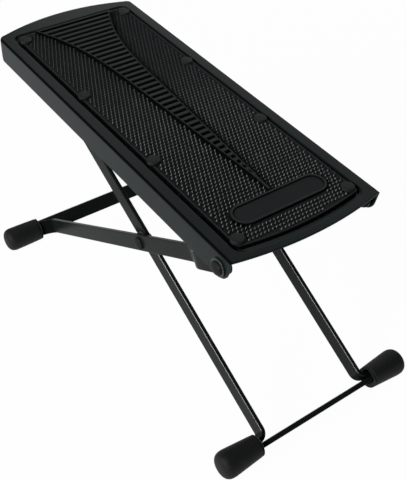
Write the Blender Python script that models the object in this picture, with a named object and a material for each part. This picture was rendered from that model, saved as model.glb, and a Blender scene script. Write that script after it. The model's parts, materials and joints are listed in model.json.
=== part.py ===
# Folding guitar footrest: a pressed steel tray with a rubber mat, carried by two hinged
# flat bar frames that cross like scissors. Metres, +Z up, +Y towards the raised rear end,
# origin on the floor at the middle of the bounding box.

from math import acos, asin, atan2, ceil, cos, hypot, pi, radians, sin, sqrt, tan

import bmesh
import bpy
from mathutils import Matrix, Vector

mm = 0.001

# Clearances between pieces that touch, and between pieces that move
touch_gap = 0.3 * mm
pivot_gap = 0.3 * mm
rod_running_gap = 0.6 * mm
cutter_overrun = 4.0 * mm

# Tray: a sheet folded down along both sides, with bowed ends
tray_width = 111.4 * mm
tray_length = 277.2 * mm
sheet_thickness = 1.2 * mm
fold_radius = 1.4 * mm
flange_depth = 17.5 * mm
front_bow = 5.7 * mm
rear_bow = 11.1 * mm
rear_corner_radius = 5.0 * mm
flange_rear_setback = 4.5 * mm
flange_rear_corner = 4.0 * mm
flange_front_corner = 7.0 * mm
flange_front_slant = radians(10.0)

# Recess pressed into the tray for the mat
recess_depth = 2.5 * mm
recess_side_border = 7.65 * mm
recess_front_border = 6.7 * mm
recess_rear_border = 15.4 * mm
recess_corner = 5.0 * mm
recess_front_bow = 4.4 * mm

# Rubber mat: body, the fan of cross slats, the bare obround panel and the stud holes
mat_side_gap = 3.0 * mm
mat_front_gap = 2.3 * mm
mat_rear_gap = 3.2 * mm
mat_corner = 2.0 * mm
mat_rise = 0.7 * mm
mat_rim_width = 1.5 * mm
mat_field_sink = 0.4 * mm
raised_root = 1.0 * mm
fan_rise = 2.7 * mm
fan_point_inset = 32.7 * mm
fan_rear_margin = 1.4 * mm
fan_tip_half = 0.5 * mm
fan_spread = radians(3.47)
fan_side_gap = 13.8 * mm
fan_flare_length = 104.5 * mm
fan_flare_power = 3.2
rib_width = 1.3 * mm
slat_pitch = 5.69 * mm
slat_groove_width = 2.6 * mm
slat_groove_depth = 2.6 * mm
slat_groove_least = 0.7 * mm
slat_rear_margin = 3.4 * mm
slat_solid_length = 25.0 * mm
nub_pitch = 2.78 * mm
nub_row_pitch = 2.79 * mm
nub_base_radius = 1.3 * mm
nub_top_radius = 0.6 * mm
nub_rise = 1.5 * mm
nub_clearance = 0.6 * mm
nub_sides = 4
main_nub_step = 4
panel_side_gap = 10.85 * mm
panel_width = 17.2 * mm
panel_inset = 23.3 * mm
panel_rise = 1.3 * mm
panel_wall = 1.8 * mm
panel_sink = 0.8 * mm

# Studs that hold the mat down on the tray
studs_per_side = 4
stud_head_radius = 4.3 * mm
stud_head_rise = 1.2 * mm
stud_head_edge = 0.4 * mm
stud_shank_radius = 2.0 * mm
stud_tail_radius = 3.2 * mm
stud_tail_height = 1.4 * mm
stud_seat_depth = 1.6 * mm
stud_side_inset = 3.75 * mm
stud_front_inset = 9.6 * mm
stud_rear_inset = 6.6 * mm

# Flat bars of both frames
bar_width = 10.0 * mm
bar_thickness = 3.0 * mm
bar_edge_radius = 0.5 * mm
front_bar_inset = 15.95 * mm
bar_stack_gap = 1.8 * mm
hinge_tab_gap = 0.4 * mm
front_bend_radius = 6.0 * mm
rear_bend_radius = 16.0 * mm
tab_reach = 6.9 * mm
tab_length = 26.0 * mm
joggle_length = 19.0 * mm

# Linkage, with the angles of the frames to the tray as it stands
hinge_inset = 9.9 * mm
hinge_lift = 6.9 * mm
rear_frame_angle = radians(32.6)
front_frame_angle = radians(26.3)
hinge_to_scissor = 111.6 * mm
scissor_to_rear_foot = 169.0 * mm
scissor_to_front_foot = 151.5 * mm
scissor_to_rod = 128.4 * mm

# The tray turns by this share of the scissor's opening
tray_turn_share = 0.56
scissor_opening = radians(40.0)
scissor_folding = radians(54.0)

# Notched racks under the tray
rack_thickness = 2.0 * mm
rack_inset = 4.45 * mm
rack_foot_width = 9.0 * mm
rack_foot_thickness = 1.5 * mm
notch_count = 6
notch_pitch = 12.5 * mm
notch_depth_share = 0.78
notch_flat = 2.0 * mm
notches_behind_rod = 1
rack_end_margin = 8.0 * mm

# Locking rod at the top of the front frame
rod_radius = 3.0 * mm
rod_spigot_radius = 2.2 * mm
rod_head_radius = 3.6 * mm
rod_head_height = 0.9 * mm

# Rivets and washers
scissor_shank_radius = 2.5 * mm
scissor_head_radius = 4.7 * mm
scissor_head_height = 2.2 * mm
scissor_tail_height = 1.6 * mm
spacer_radius = 7.0 * mm
hinge_shank_radius = 2.5 * mm
hinge_head_radius = 4.6 * mm
hinge_head_height = 2.2 * mm
hinge_tail_height = 1.8 * mm
hinge_washer_radius = 6.0 * mm
hinge_washer_thickness = 0.8 * mm

# Rubber foot caps
cap_radius = 9.3 * mm
cap_mouth_radius = 7.5 * mm
cap_mouth_oval = 1.17
cap_lip = 0.6 * mm
cap_cone_length = 22.0 * mm
cap_length = 29.6 * mm
cap_dome_power = 3.1
front_cap_inset = 0.5 * mm
rear_cap_inset = 6.0 * mm
cap_opening_depth = 9.0 * mm
cap_opening_ease = 1.6 * mm
stub_insertion = 17.0 * mm

round_steps = 24
small_round_steps = 16
search_steps = 32
edge_segments = 1


# Places worked out from the sizes above

half_width = tray_width / 2
front_bar_spacing = tray_width - 2 * front_bar_inset
rack_spacing = front_bar_spacing - 2 * rack_inset
hinge_drop = flange_depth - hinge_lift
rear_bar_inner = front_bar_spacing / 2 + bar_thickness + bar_stack_gap
tab_inner = half_width - sheet_thickness - hinge_tab_gap - bar_thickness
front_bar_middle = front_bar_spacing / 2 + bar_thickness / 2
rear_bar_middle = rear_bar_inner + bar_thickness / 2
tab_middle = tab_inner + bar_thickness / 2


def along(angle, length):
    # a step in the tray's side view, as distance towards the rear and height
    return Vector((length * cos(angle), length * sin(angle)))


hinge_side = Vector((hinge_inset, -hinge_drop))
scissor_side = hinge_side + along(-rear_frame_angle, hinge_to_scissor)
rear_foot_side = scissor_side + along(-rear_frame_angle, scissor_to_rear_foot)
front_foot_side = scissor_side - along(front_frame_angle, scissor_to_front_foot)
rod_side = scissor_side + along(front_frame_angle, scissor_to_rod)

# Both pairs of feet stand on the floor, which sets the tilt of the tray
foot_line = rear_foot_side - front_foot_side
tray_tilt = atan2(-foot_line.y, foot_line.x)


def turned(point, angle):
    return Vector((point.x * cos(angle) - point.y * sin(angle), point.x * sin(angle) + point.y * cos(angle)))


def bow(x, rise, half_chord):
    # height of a circular arc over its chord, at x from the middle
    radius = (rise ** 2 + half_chord ** 2) / (2 * rise)
    return sqrt(max(radius ** 2 - x ** 2, 0.0)) - (radius - rise)


floor_height = turned(front_foot_side, tray_tilt).y - cap_radius
front_reach = turned(front_foot_side, tray_tilt).x - cap_radius
rear_reach = turned(Vector((tray_length + rear_bow, 0.0)), tray_tilt).x
middle_reach = (front_reach + rear_reach) / 2


def world_place(side_point):
    # from the tray's side view to the standing object, on the plane x = 0
    level = turned(side_point, tray_tilt)
    return Vector((0.0, level.x - middle_reach, level.y - floor_height))


def rod_path(scissor_turn):
    # place of the locking rod in the tray's side view when the scissor has turned
    rear_turn = -tray_turn_share * scissor_turn
    front_turn = scissor_turn + rear_turn
    pivot = hinge_side + turned(scissor_side - hinge_side, rear_turn)
    return pivot + turned(rod_side - scissor_side, front_turn)


def rod_height_at(v):
    # height of the rod in the tray's side view where it stands under v
    low, high = -scissor_folding, scissor_opening
    for _ in range(search_steps):
        middle = (low + high) / 2
        if rod_path(middle).x > v:
            low = middle
        else:
            high = middle
    return rod_path(high).y


# Blender helpers

def clear_scene():
    for item in list(bpy.data.objects):
        bpy.data.objects.remove(item, do_unlink=True)


def make_material(name, color, roughness, metallic):
    material = bpy.data.materials.new(name)
    material.use_nodes = True
    shader = next(n for n in material.node_tree.nodes if n.type == "BSDF_PRINCIPLED")
    shader.inputs["Base Color"].default_value = (*color, 1.0)
    shader.inputs["Roughness"].default_value = roughness
    shader.inputs["Metallic"].default_value = metallic
    return material


def make_empty(name, place, tilt):
    empty = bpy.data.objects.new(name, None)
    empty.location = place
    empty.rotation_euler = (tilt, 0.0, 0.0)
    empty.empty_display_size = bar_width
    bpy.context.collection.objects.link(empty)
    return empty


def make_object(name, bm, material, parent=None, smooth_angle=None):
    bmesh.ops.recalc_face_normals(bm, faces=bm.faces)
    mesh = bpy.data.meshes.new(name)
    bm.to_mesh(mesh)
    bm.free()
    item = bpy.data.objects.new(name, mesh)
    bpy.context.collection.objects.link(item)
    if material is not None:
        mesh.materials.append(material)
    if smooth_angle is not None:
        mesh.shade_smooth()
        mesh.set_sharp_from_angle(angle=smooth_angle)
    item.parent = parent
    return item


def as_cutter(item):
    item.hide_render = True
    item.display_type = "WIRE"
    return item


def add_boolean(item, tool, operation):
    modifier = item.modifiers.new(operation.lower(), "BOOLEAN")
    modifier.operation = operation
    modifier.solver = "EXACT"
    modifier.object = as_cutter(tool)


def add_bevel(item, width, segments):
    modifier = item.modifiers.new("edges", "BEVEL")
    modifier.width = width
    modifier.segments = segments
    modifier.limit_method = "ANGLE"
    modifier.angle_limit = radians(50.0)


def add_prism(bm, outline, low, high, place):
    # a closed outline carried from low to high; place turns (a, b, height) into a point
    bottom = [bm.verts.new(place(a, b, low)) for a, b in outline]
    top = [bm.verts.new(place(a, b, high)) for a, b in outline]
    bm.faces.new(list(reversed(bottom)))
    bm.faces.new(top)
    for i in range(len(outline)):
        j = (i + 1) % len(outline)
        bm.faces.new((bottom[i], bottom[j], top[j], top[i]))


def add_turned(bm, profile, steps, centre=(0.0, 0.0), side=1):
    # a profile of (x, radius) turned about the line along X through centre (y, z);
    # the first and last points lie on that line
    first = bm.verts.new((side * profile[0][0], *centre))
    last = bm.verts.new((side * profile[-1][0], *centre))
    rings = []
    for x, radius in profile[1:-1]:
        ring = []
        for k in range(steps):
            angle = 2 * pi * k / steps
            y = centre[0] + radius * cos(angle)
            z = centre[1] + radius * sin(angle)
            ring.append(bm.verts.new((side * x, y, z)))
        rings.append(ring)
    for k in range(steps):
        j = (k + 1) % steps
        bm.faces.new((first, rings[0][k], rings[0][j]))
        bm.faces.new((last, rings[-1][j], rings[-1][k]))
        for a, b in zip(rings, rings[1:]):
            bm.faces.new((a[k], b[k], b[j], a[j]))


def round_cutter(name, x_low, x_high, radius, parent, centre=(0.0, 0.0), steps=None):
    bm = bmesh.new()
    profile = [(x_low, 0.0), (x_low, radius), (x_high, radius), (x_high, 0.0)]
    add_turned(bm, profile, steps or round_steps, centre)
    return make_object(name, bm, None, parent)


def rounded_corner(corner, before, after, radius, steps):
    # points of an arc that rounds a corner between two straight directions
    a = (before - corner).normalized()
    b = (after - corner).normalized()
    half = acos(max(-1.0, min(1.0, a.dot(b)))) / 2
    reach = radius / tan(half)
    centre = corner + (a + b).normalized() * (radius / sin(half))
    start = corner + a * reach - centre
    end = corner + b * reach - centre
    turn = atan2(start.x * end.y - start.y * end.x, start.dot(end))
    return [centre + turned(start, turn * k / steps) for k in range(steps + 1)]


# Tray coordinates: x across, v from the front corners to the rear, n up from the sheet

def tray_place(x, v, n):
    return (x, v - hinge_side.x, n - hinge_side.y)


def flange_front_end(n):
    corner_top = -(flange_depth - flange_front_corner)
    below = max(corner_top - n, 0.0)
    below = min(below, flange_front_corner)
    rounding = flange_front_corner - sqrt(max(flange_front_corner ** 2 - below ** 2, 0.0))
    return max(-n, 0.0) * tan(flange_front_slant) + rounding


def flange_rear_end(n):
    corner_top = -(flange_depth - flange_rear_corner)
    below = min(max(corner_top - n, 0.0), flange_rear_corner)
    rounding = flange_rear_corner - sqrt(max(flange_rear_corner ** 2 - below ** 2, 0.0))
    return tray_length - flange_rear_setback - rounding


def front_edge(x, n):
    return flange_front_end(n) - bow(min(abs(x), half_width), front_bow, half_width)


def rear_edge(x, n):
    corner_start = half_width - rear_corner_radius
    over = min(max(abs(x) - corner_start, 0.0), rear_corner_radius)
    low = flange_rear_end(n)
    high = tray_length + bow(min(abs(x), corner_start), rear_bow, half_width)
    return low + (high - low) * sqrt(max(1.0 - (over / rear_corner_radius) ** 2, 0.0))


def tray_section(offset):
    # half section from the flange's lower edge to the middle, set in by offset
    radius = fold_radius - offset
    outer = half_width - offset
    fold_centre = half_width - fold_radius
    points = []
    flange_steps = 6
    flange_low = flange_depth - fold_radius
    corner = max(flange_front_corner, flange_rear_corner)
    for k in range(flange_steps):
        share = k / (flange_steps - 1)
        points.append((outer, -flange_depth + corner * (1 - cos(share * pi / 2))))
    if flange_low > corner:
        points.append((outer, -fold_radius))
    fold_steps = 4
    for k in range(1, fold_steps + 1):
        angle = pi / 2 * k / fold_steps
        points.append((fold_centre + radius * cos(angle), -fold_radius + radius * sin(angle)))
    top_steps = 12
    corner_steps = 5
    corner_start = half_width - rear_corner_radius
    for k in range(1, corner_steps + 1):
        x = fold_centre + (corner_start - fold_centre) * k / corner_steps
        points.append((x, -offset))
    for k in range(1, top_steps + 1):
        points.append((corner_start * (1 - k / top_steps), -offset))
    return points


def build_tray(parent, steel):
    bm = bmesh.new()
    halves = [tray_section(0.0), tray_section(sheet_thickness)]
    skins = []
    for half in halves:
        section = half + [(-x, n) for x, n in reversed(half[:-1])]
        fronts = [bm.verts.new(tray_place(x, front_edge(x, n), n)) for x, n in section]
        rears = [bm.verts.new(tray_place(x, rear_edge(x, n), n)) for x, n in section]
        skins.append((fronts, rears))
    (outer_front, outer_rear), (inner_front, inner_rear) = skins
    last = len(outer_front) - 1
    for i in range(last):
        j = i + 1
        bm.faces.new((outer_front[i], outer_front[j], outer_rear[j], outer_rear[i]))
        bm.faces.new((inner_front[i], inner_rear[i], inner_rear[j], inner_front[j]))
        bm.faces.new((outer_front[i], inner_front[i], inner_front[j], outer_front[j]))
        bm.faces.new((outer_rear[i], outer_rear[j], inner_rear[j], inner_rear[i]))
    for i in (0, last):
        bm.faces.new((outer_front[i], outer_rear[i], inner_rear[i], inner_front[i]))
    tray = make_object("deck_tray", bm, steel, parent, radians(35.0))

    pan = bmesh.new()
    pan_low = -recess_depth - sheet_thickness
    add_prism(pan, recess_outline(sheet_thickness), pan_low, -sheet_thickness / 3, tray_place)
    add_boolean(tray, make_object("recess_pan", pan, None, parent), "UNION")
    pocket = bmesh.new()
    add_prism(pocket, recess_outline(0.0), -recess_depth, cutter_overrun, tray_place)
    add_boolean(tray, make_object("recess_pocket", pocket, None, parent), "DIFFERENCE")

    reach = half_width + cutter_overrun
    hole = hinge_shank_radius + touch_gap
    add_boolean(tray, round_cutter("hinge_hole", -reach, reach, hole, parent), "DIFFERENCE")
    holes = bmesh.new()
    for x, v in stud_places():
        add_stud_post(holes, x, v, stud_shank_radius + touch_gap, pan_low - cutter_overrun, cutter_overrun)
    add_boolean(tray, make_object("tray_stud_holes", holes, None, parent), "DIFFERENCE")
    return tray


def plan_outline(half_across, v_front, v_rear, front_rise, corner):
    # a long panel seen from above: bowed front edge, straight rear edge, rounded corners
    def front_line(x):
        return v_front + front_rise - bow(min(abs(x), half_across), front_rise, half_across)

    corner = min(corner, half_across / 2)
    bow_steps = 16
    corner_steps = 5
    points = []
    near_front = Vector((half_across - 2 * corner, front_line(half_across - 2 * corner)))
    front_corner = Vector((half_across, front_line(half_across)))
    rear_corner = Vector((half_across, v_rear))
    points += rounded_corner(front_corner, near_front, rear_corner, corner, corner_steps)
    points += rounded_corner(rear_corner, front_corner, Vector((0.0, v_rear)), corner, corner_steps)
    right = [(p.x, p.y) for p in points]
    left = [(-x, v) for x, v in reversed(right)]
    start = -right[0][0]
    front = []
    for k in range(1, bow_steps):
        x = start + 2 * right[0][0] * k / bow_steps
        front.append((x, front_line(x)))
    return right + left + front


recess_half = half_width - recess_side_border
recess_front = -front_bow + recess_front_border
recess_rear = tray_length + rear_bow - recess_rear_border


def recess_outline(grow):
    return plan_outline(
        recess_half + grow, recess_front - grow, recess_rear + grow, recess_front_bow, recess_corner + grow
    )


# Mat

mat_half = recess_half - mat_side_gap
mat_front = recess_front + mat_front_gap
mat_rear = recess_rear - mat_rear_gap
mat_base = -recess_depth + touch_gap
mat_top = mat_rise
field_top = mat_top - mat_field_sink
raised_low = field_top - raised_root
fan_top = mat_top + fan_rise
fan_point = mat_front + fan_point_inset
fan_rear = mat_rear - fan_rear_margin
fan_flare_width = mat_half - fan_side_gap - fan_tip_half - (fan_rear - fan_point) * tan(fan_spread)
panel_length = 2 * (mat_half - panel_side_gap)
panel_middle = mat_front + panel_inset


def fan_half_width(v):
    # straight spread from the blunt point, with a flare that grows towards the rear edge
    share = max((v - fan_rear) / fan_flare_length + 1.0, 0.0)
    flare = fan_flare_width * share ** fan_flare_power
    return fan_tip_half + max((v - fan_point) * tan(fan_spread), 0.0) + flare


def groove_half_length(v):
    return max(fan_half_width(v) - rib_width, slat_groove_least / 2)


def fan_outline(inset):
    steps = 28
    v_low = fan_point + inset
    v_high = fan_rear - inset
    right = []
    for k in range(steps + 1):
        v = v_low + (v_high - v_low) * k / steps
        right.append((max(fan_half_width(v) - inset, rib_width / 4), v))
    return right + [(-x, v) for x, v in reversed(right)]


def groove_places():
    # grooves run from the rear towards the point, and stop where the fan is solid
    first = fan_rear - slat_rear_margin
    nearest = fan_point + slat_solid_length
    count = int((first - nearest) / slat_pitch) + 1
    return [first - k * slat_pitch for k in range(count)]


def obround_outline(length, width, v_middle):
    radius = width / 2
    straight = length / 2 - radius
    steps = 10
    points = []
    for side in (1, -1):
        for k in range(steps + 1):
            angle = pi / 2 - pi * k / steps
            points.append((side * (straight + radius * cos(angle)), v_middle + side * radius * sin(angle)))
    return points


def stud_places():
    x = mat_half - stud_side_inset
    front = mat_front + stud_front_inset
    rear = mat_rear - stud_rear_inset
    pitch = (rear - front) / (studs_per_side - 1)
    return [(side * x, front + k * pitch) for side in (-1, 1) for k in range(studs_per_side)]


def add_stud_post(bm, x, v, radius, low, high):
    outline = []
    for k in range(small_round_steps):
        angle = 2 * pi * k / small_round_steps
        outline.append((x + radius * cos(angle), v + radius * sin(angle)))
    add_prism(bm, outline, low, high, tray_place)


def obround_distance(x, v):
    # how far a point lies outside the panel
    radius = panel_width / 2
    straight = panel_length / 2 - radius
    return hypot(max(abs(x) - straight, 0.0), v - panel_middle) - radius


def nub_fits(x, v):
    # nubs stay off the rim, the fan, the panel and the studs
    reach = nub_base_radius + nub_clearance
    rim = mat_rim_width + reach
    front = mat_front + recess_front_bow - bow(min(abs(x), mat_half), recess_front_bow, mat_half)
    if abs(x) > mat_half - rim or v < front + rim or v > mat_rear - rim:
        return False
    if v > fan_point - reach and abs(x) < fan_half_width(v) + reach:
        return False
    if obround_distance(x, v) < reach:
        return False
    seat = stud_head_radius + touch_gap
    return all(hypot(x - sx, v - sv) > seat + reach for sx, sv in stud_places())


def main_nub_places():
    # staggered rows; the solid carries every fourth nub of every fourth row
    pitch, row_pitch = nub_pitch * main_nub_step, nub_row_pitch * main_nub_step / 2
    rows = int((mat_rear - mat_front) / row_pitch)
    columns = int(mat_half / pitch) + 1
    places = []
    for row in range(rows + 1):
        shift = pitch / 2 if row % 2 else 0.0
        for column in range(-columns, columns + 1):
            x, v = column * pitch + shift, mat_front + row * row_pitch
            if nub_fits(x, v):
                places.append((x, v))
    return places


def add_nub(bm, x, v, low, top):
    # a blunt cone whose lower end is sunk into the field
    rings = []
    slope = (nub_base_radius - nub_top_radius) / nub_rise
    for n in (low, top):
        radius = nub_top_radius + slope * (top - n)
        ring = []
        for k in range(nub_sides):
            angle = 2 * pi * k / nub_sides
            ring.append(bm.verts.new(tray_place(x + radius * cos(angle), v + radius * sin(angle), n)))
        rings.append(ring)
    bm.faces.new(rings[0][::-1])
    bm.faces.new(rings[1])
    for k in range(nub_sides):
        after = (k + 1) % nub_sides
        bm.faces.new((rings[0][k], rings[0][after], rings[1][after], rings[1][k]))


def build_mat(parent, rubber):
    bm = bmesh.new()
    outline = plan_outline(mat_half, mat_front, mat_rear, recess_front_bow, mat_corner)
    add_prism(bm, outline, mat_base, mat_top, tray_place)
    mat = make_object("rubber_mat", bm, rubber, parent)

    field = bmesh.new()
    inner_half, inner_front, inner_rear = mat_half - mat_rim_width, mat_front + mat_rim_width, mat_rear - mat_rim_width
    add_prism(field, plan_outline(inner_half, inner_front, inner_rear, recess_front_bow, mat_corner / 2),
              field_top, field_top + cutter_overrun, tray_place)
    add_boolean(mat, make_object("mat_field", field, None, parent), "DIFFERENCE")

    nubs = bmesh.new()
    for x, v in main_nub_places():
        add_nub(nubs, x, v, raised_low, field_top + nub_rise)
    add_boolean(mat, make_object("mat_nubs", nubs, None, parent), "UNION")

    raised = bmesh.new()
    add_prism(raised, fan_outline(0.0), raised_low, fan_top, tray_place)
    add_prism(raised, obround_outline(panel_length, panel_width, panel_middle),
              raised_low, mat_top + panel_rise, tray_place)
    add_boolean(mat, make_object("fan_and_panel", raised, None, parent), "UNION")

    cuts = bmesh.new()
    groove_low = fan_top - slat_groove_depth
    for v in groove_places():
        front, rear = v - slat_groove_width / 2, v + slat_groove_width / 2
        front_x, rear_x = groove_half_length(front), groove_half_length(rear)
        quad = [(-front_x, front), (front_x, front), (rear_x, rear), (-rear_x, rear)]
        add_prism(cuts, quad, groove_low, fan_top + cutter_overrun, tray_place)
    inner_length = panel_length - 2 * panel_wall
    inner_width = panel_width - 2 * panel_wall
    panel_floor = mat_top + panel_rise - panel_sink
    add_prism(cuts, obround_outline(inner_length, inner_width, panel_middle),
              panel_floor, fan_top + cutter_overrun, tray_place)
    seat = mat_top - stud_seat_depth
    for x, v in stud_places():
        add_stud_post(cuts, x, v, stud_head_radius + touch_gap, seat, fan_top + cutter_overrun)
    add_boolean(mat, make_object("mat_cuts", cuts, None, parent), "DIFFERENCE")
    holes = bmesh.new()
    for x, v in stud_places():
        add_stud_post(holes, x, v, stud_shank_radius + touch_gap, mat_base - cutter_overrun, seat + raised_root / 2)
    add_boolean(mat, make_object("mat_stud_holes", holes, None, parent), "DIFFERENCE")
    return mat


def build_stud(name, x, v, parent, rubber):
    # head in the mat, shank through the tray, and a tail that snaps under it
    head_top = mat_top + stud_head_rise
    head_low = mat_top - stud_seat_depth + touch_gap
    tail_top = -recess_depth - sheet_thickness - touch_gap
    tail_low = tail_top - stud_tail_height
    edge = stud_head_edge
    profile = [
        (head_top, 0.0), (head_top, stud_head_radius - edge), (head_top - edge, stud_head_radius),
        (head_low, stud_head_radius), (head_low, stud_shank_radius), (tail_top, stud_shank_radius),
        (tail_top, stud_tail_radius), (tail_low, stud_shank_radius), (tail_low, 0.0),
    ]
    bm = bmesh.new()
    add_turned(bm, profile, small_round_steps)
    base = Vector(tray_place(x, v, 0.0))
    for vert in bm.verts:
        # the turned profile stands along X; stand it along the tray's height
        n, across, back = vert.co
        vert.co = base + Vector((across, back, n))
    return make_object(name, bm, rubber, parent, radians(35.0))


# Racks

def rack_outline():
    # side view of the rack plate: straight top against the pan, notches along the bottom
    top = -recess_depth - sheet_thickness - touch_gap
    notch_rear = rod_side.x + notches_behind_rod * notch_pitch
    centres = [notch_rear - k * notch_pitch for k in range(notch_count)]
    front = centres[-1] - rack_end_margin
    rear = centres[0] + rack_end_margin

    def tip(v):
        return rod_height_at(v) + rod_radius + rod_running_gap

    def roof(v):
        return tip(v) + notch_depth_share * (top - tip(v))

    points = [(rear, top), (front, top), (front, tip(front))]
    slope_reach = (notch_pitch - notch_flat) / 2
    for centre in reversed(centres):
        points.append((centre - slope_reach, tip(centre - slope_reach)))
        points.append((centre - notch_flat, roof(centre)))
        points.append((centre + notch_flat / 2, roof(centre)))
        points.append((centre + notch_flat, tip(centre + notch_flat)))
    points.append((rear, tip(rear)))
    return points


def build_rack(name, side, parent, steel):
    inner = rack_spacing / 2 - rack_thickness / 2
    outer = inner + rack_thickness
    outline = rack_outline()
    bm = bmesh.new()
    add_prism(bm, outline, side * inner, side * outer, lambda v, n, x: tray_place(x, v, n))
    rack = make_object(name, bm, steel, parent)
    # a foot bent inwards at the top, spot welded to the pan
    rear, top = outline[0]
    front = outline[1][0]
    foot_edge = outer - rack_foot_width
    foot = bmesh.new()
    quad = [(side * foot_edge, front), (side * (outer - rack_thickness / 4), front),
            (side * (outer - rack_thickness / 4), rear), (side * foot_edge, rear)]
    add_prism(foot, quad, top - rack_foot_thickness, top, tray_place)
    add_boolean(rack, make_object(name + "_foot", foot, None, parent), "UNION")
    return rack


# Flat bars: a path in plan (x, y), with the bar's width along z

def bar_solid(path, half_heights, thickness):
    # carries the bar's edge rectangle along the path; half_heights gives z at each point
    bm = bmesh.new()
    rings = []
    count = len(path)
    for i, point in enumerate(path):
        ahead = path[min(i + 1, count - 1)] - path[max(i - 1, 0)]
        side = Vector((ahead.y, -ahead.x)).normalized() * (thickness / 2)
        if 0 < i < count - 1:
            a = (path[i] - path[i - 1]).normalized()
            b = (path[i + 1] - path[i]).normalized()
            side = side / max(sqrt((1 + a.dot(b)) / 2), thickness / bar_width)
        z = half_heights[i]
        corners = [(point + side, -z), (point + side, z), (point - side, z), (point - side, -z)]
        rings.append([bm.verts.new((p.x, p.y, h)) for p, h in corners])
    for a, b in zip(rings, rings[1:]):
        for k in range(4):
            m = (k + 1) % 4
            bm.faces.new((a[k], a[m], b[m], b[k]))
    bm.faces.new(rings[0])
    bm.faces.new(list(reversed(rings[-1])))
    return bm


def rounded_end(x, centre_y, direction, radius, reach):
    # points and half heights of a round end of the bar, from its tip inwards
    steps = 7
    points, heights = [], []
    tip = centre_y + direction * reach
    for k in range(1, steps + 1):
        angle = pi / 2 * k / steps
        points.append(Vector((x, tip - direction * radius * (1 - cos(angle)))))
        heights.append(radius * sin(angle))
    return points, heights


def bend_out(middle, foot_y, direction, radius, x_end):
    # the bar's lower end: a quarter bend outwards and the stub that enters the foot cap
    steps = 6
    stub_y = foot_y - direction * (bar_thickness + touch_gap) / 2
    points = []
    for k in range(steps + 1):
        angle = pi / 2 * k / steps
        points.append(Vector((middle + radius * (1 - cos(angle)), stub_y - direction * radius * (1 - sin(angle)))))
    points.append(Vector((x_end, stub_y)))
    return points


front_cap_start = front_bar_middle + front_bend_radius + front_cap_inset
rear_cap_start = rear_bar_middle + rear_bend_radius - rear_cap_inset


def mirrored(points, side):
    return [Vector((side * p.x, p.y)) for p in points]


def finish_bar(bm, name, steel, parent, holes):
    bar = make_object(name, bm, steel, parent)
    for k, (y, radius) in enumerate(holes):
        reach = half_width + cutter_overrun
        cutter = round_cutter(f"{name}_hole_{k}", -reach, reach, radius, parent, (y, 0.0))
        add_boolean(bar, cutter, "DIFFERENCE")
    add_bevel(bar, bar_edge_radius, edge_segments)
    return bar


def build_front_bar(name, side, parent, steel):
    # local y runs from the scissor pivot up to the locking rod
    points, heights = rounded_end(front_bar_middle, scissor_to_rod, 1, bar_width / 2, bar_width / 2)
    tail = bend_out(front_bar_middle, -scissor_to_front_foot, -1, front_bend_radius,
                    front_cap_start + stub_insertion)
    points = mirrored(points + tail, side)
    heights = heights + [bar_width / 2] * len(tail)
    bm = bar_solid(points, heights, bar_thickness)
    holes = [(0.0, scissor_shank_radius + pivot_gap), (scissor_to_rod, rod_spigot_radius + touch_gap)]
    return finish_bar(bm, name, steel, parent, holes)


def build_rear_bar(name, side, parent, steel):
    # local y runs from the tray hinge down to the rear foot; the tab steps out to the flange
    points, heights = rounded_end(tab_middle, 0.0, -1, bar_width / 2, tab_reach)
    ease_steps = 8
    for k in range(ease_steps + 1):
        share = k / ease_steps
        step = (1 - cos(pi * share)) / 2
        x = tab_middle + (rear_bar_middle - tab_middle) * step
        points.append(Vector((x, tab_length + joggle_length * share)))
        heights.append(bar_width / 2)
    foot_y = hinge_to_scissor + scissor_to_rear_foot
    tail = bend_out(rear_bar_middle, foot_y, 1, rear_bend_radius, rear_cap_start + stub_insertion)
    points = mirrored(points + tail, side)
    heights = heights + [bar_width / 2] * len(tail)
    bm = bar_solid(points, heights, bar_thickness)
    holes = [(0.0, hinge_shank_radius + pivot_gap), (hinge_to_scissor, scissor_shank_radius + touch_gap)]
    return finish_bar(bm, name, steel, parent, holes)


def build_crossbar(name, foot_y, direction, cap_start, parent, steel):
    # lies flat against the outer side of the two stubs, from cap to cap
    half = cap_start + stub_insertion
    y = foot_y + direction * (bar_thickness + touch_gap) / 2
    path = [Vector((-half, y)), Vector((half, y))]
    bm = bar_solid(path, [bar_width / 2] * 2, bar_thickness)
    bar = make_object(name, bm, steel, parent)
    add_bevel(bar, bar_edge_radius, edge_segments)
    return bar


# Foot caps

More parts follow.
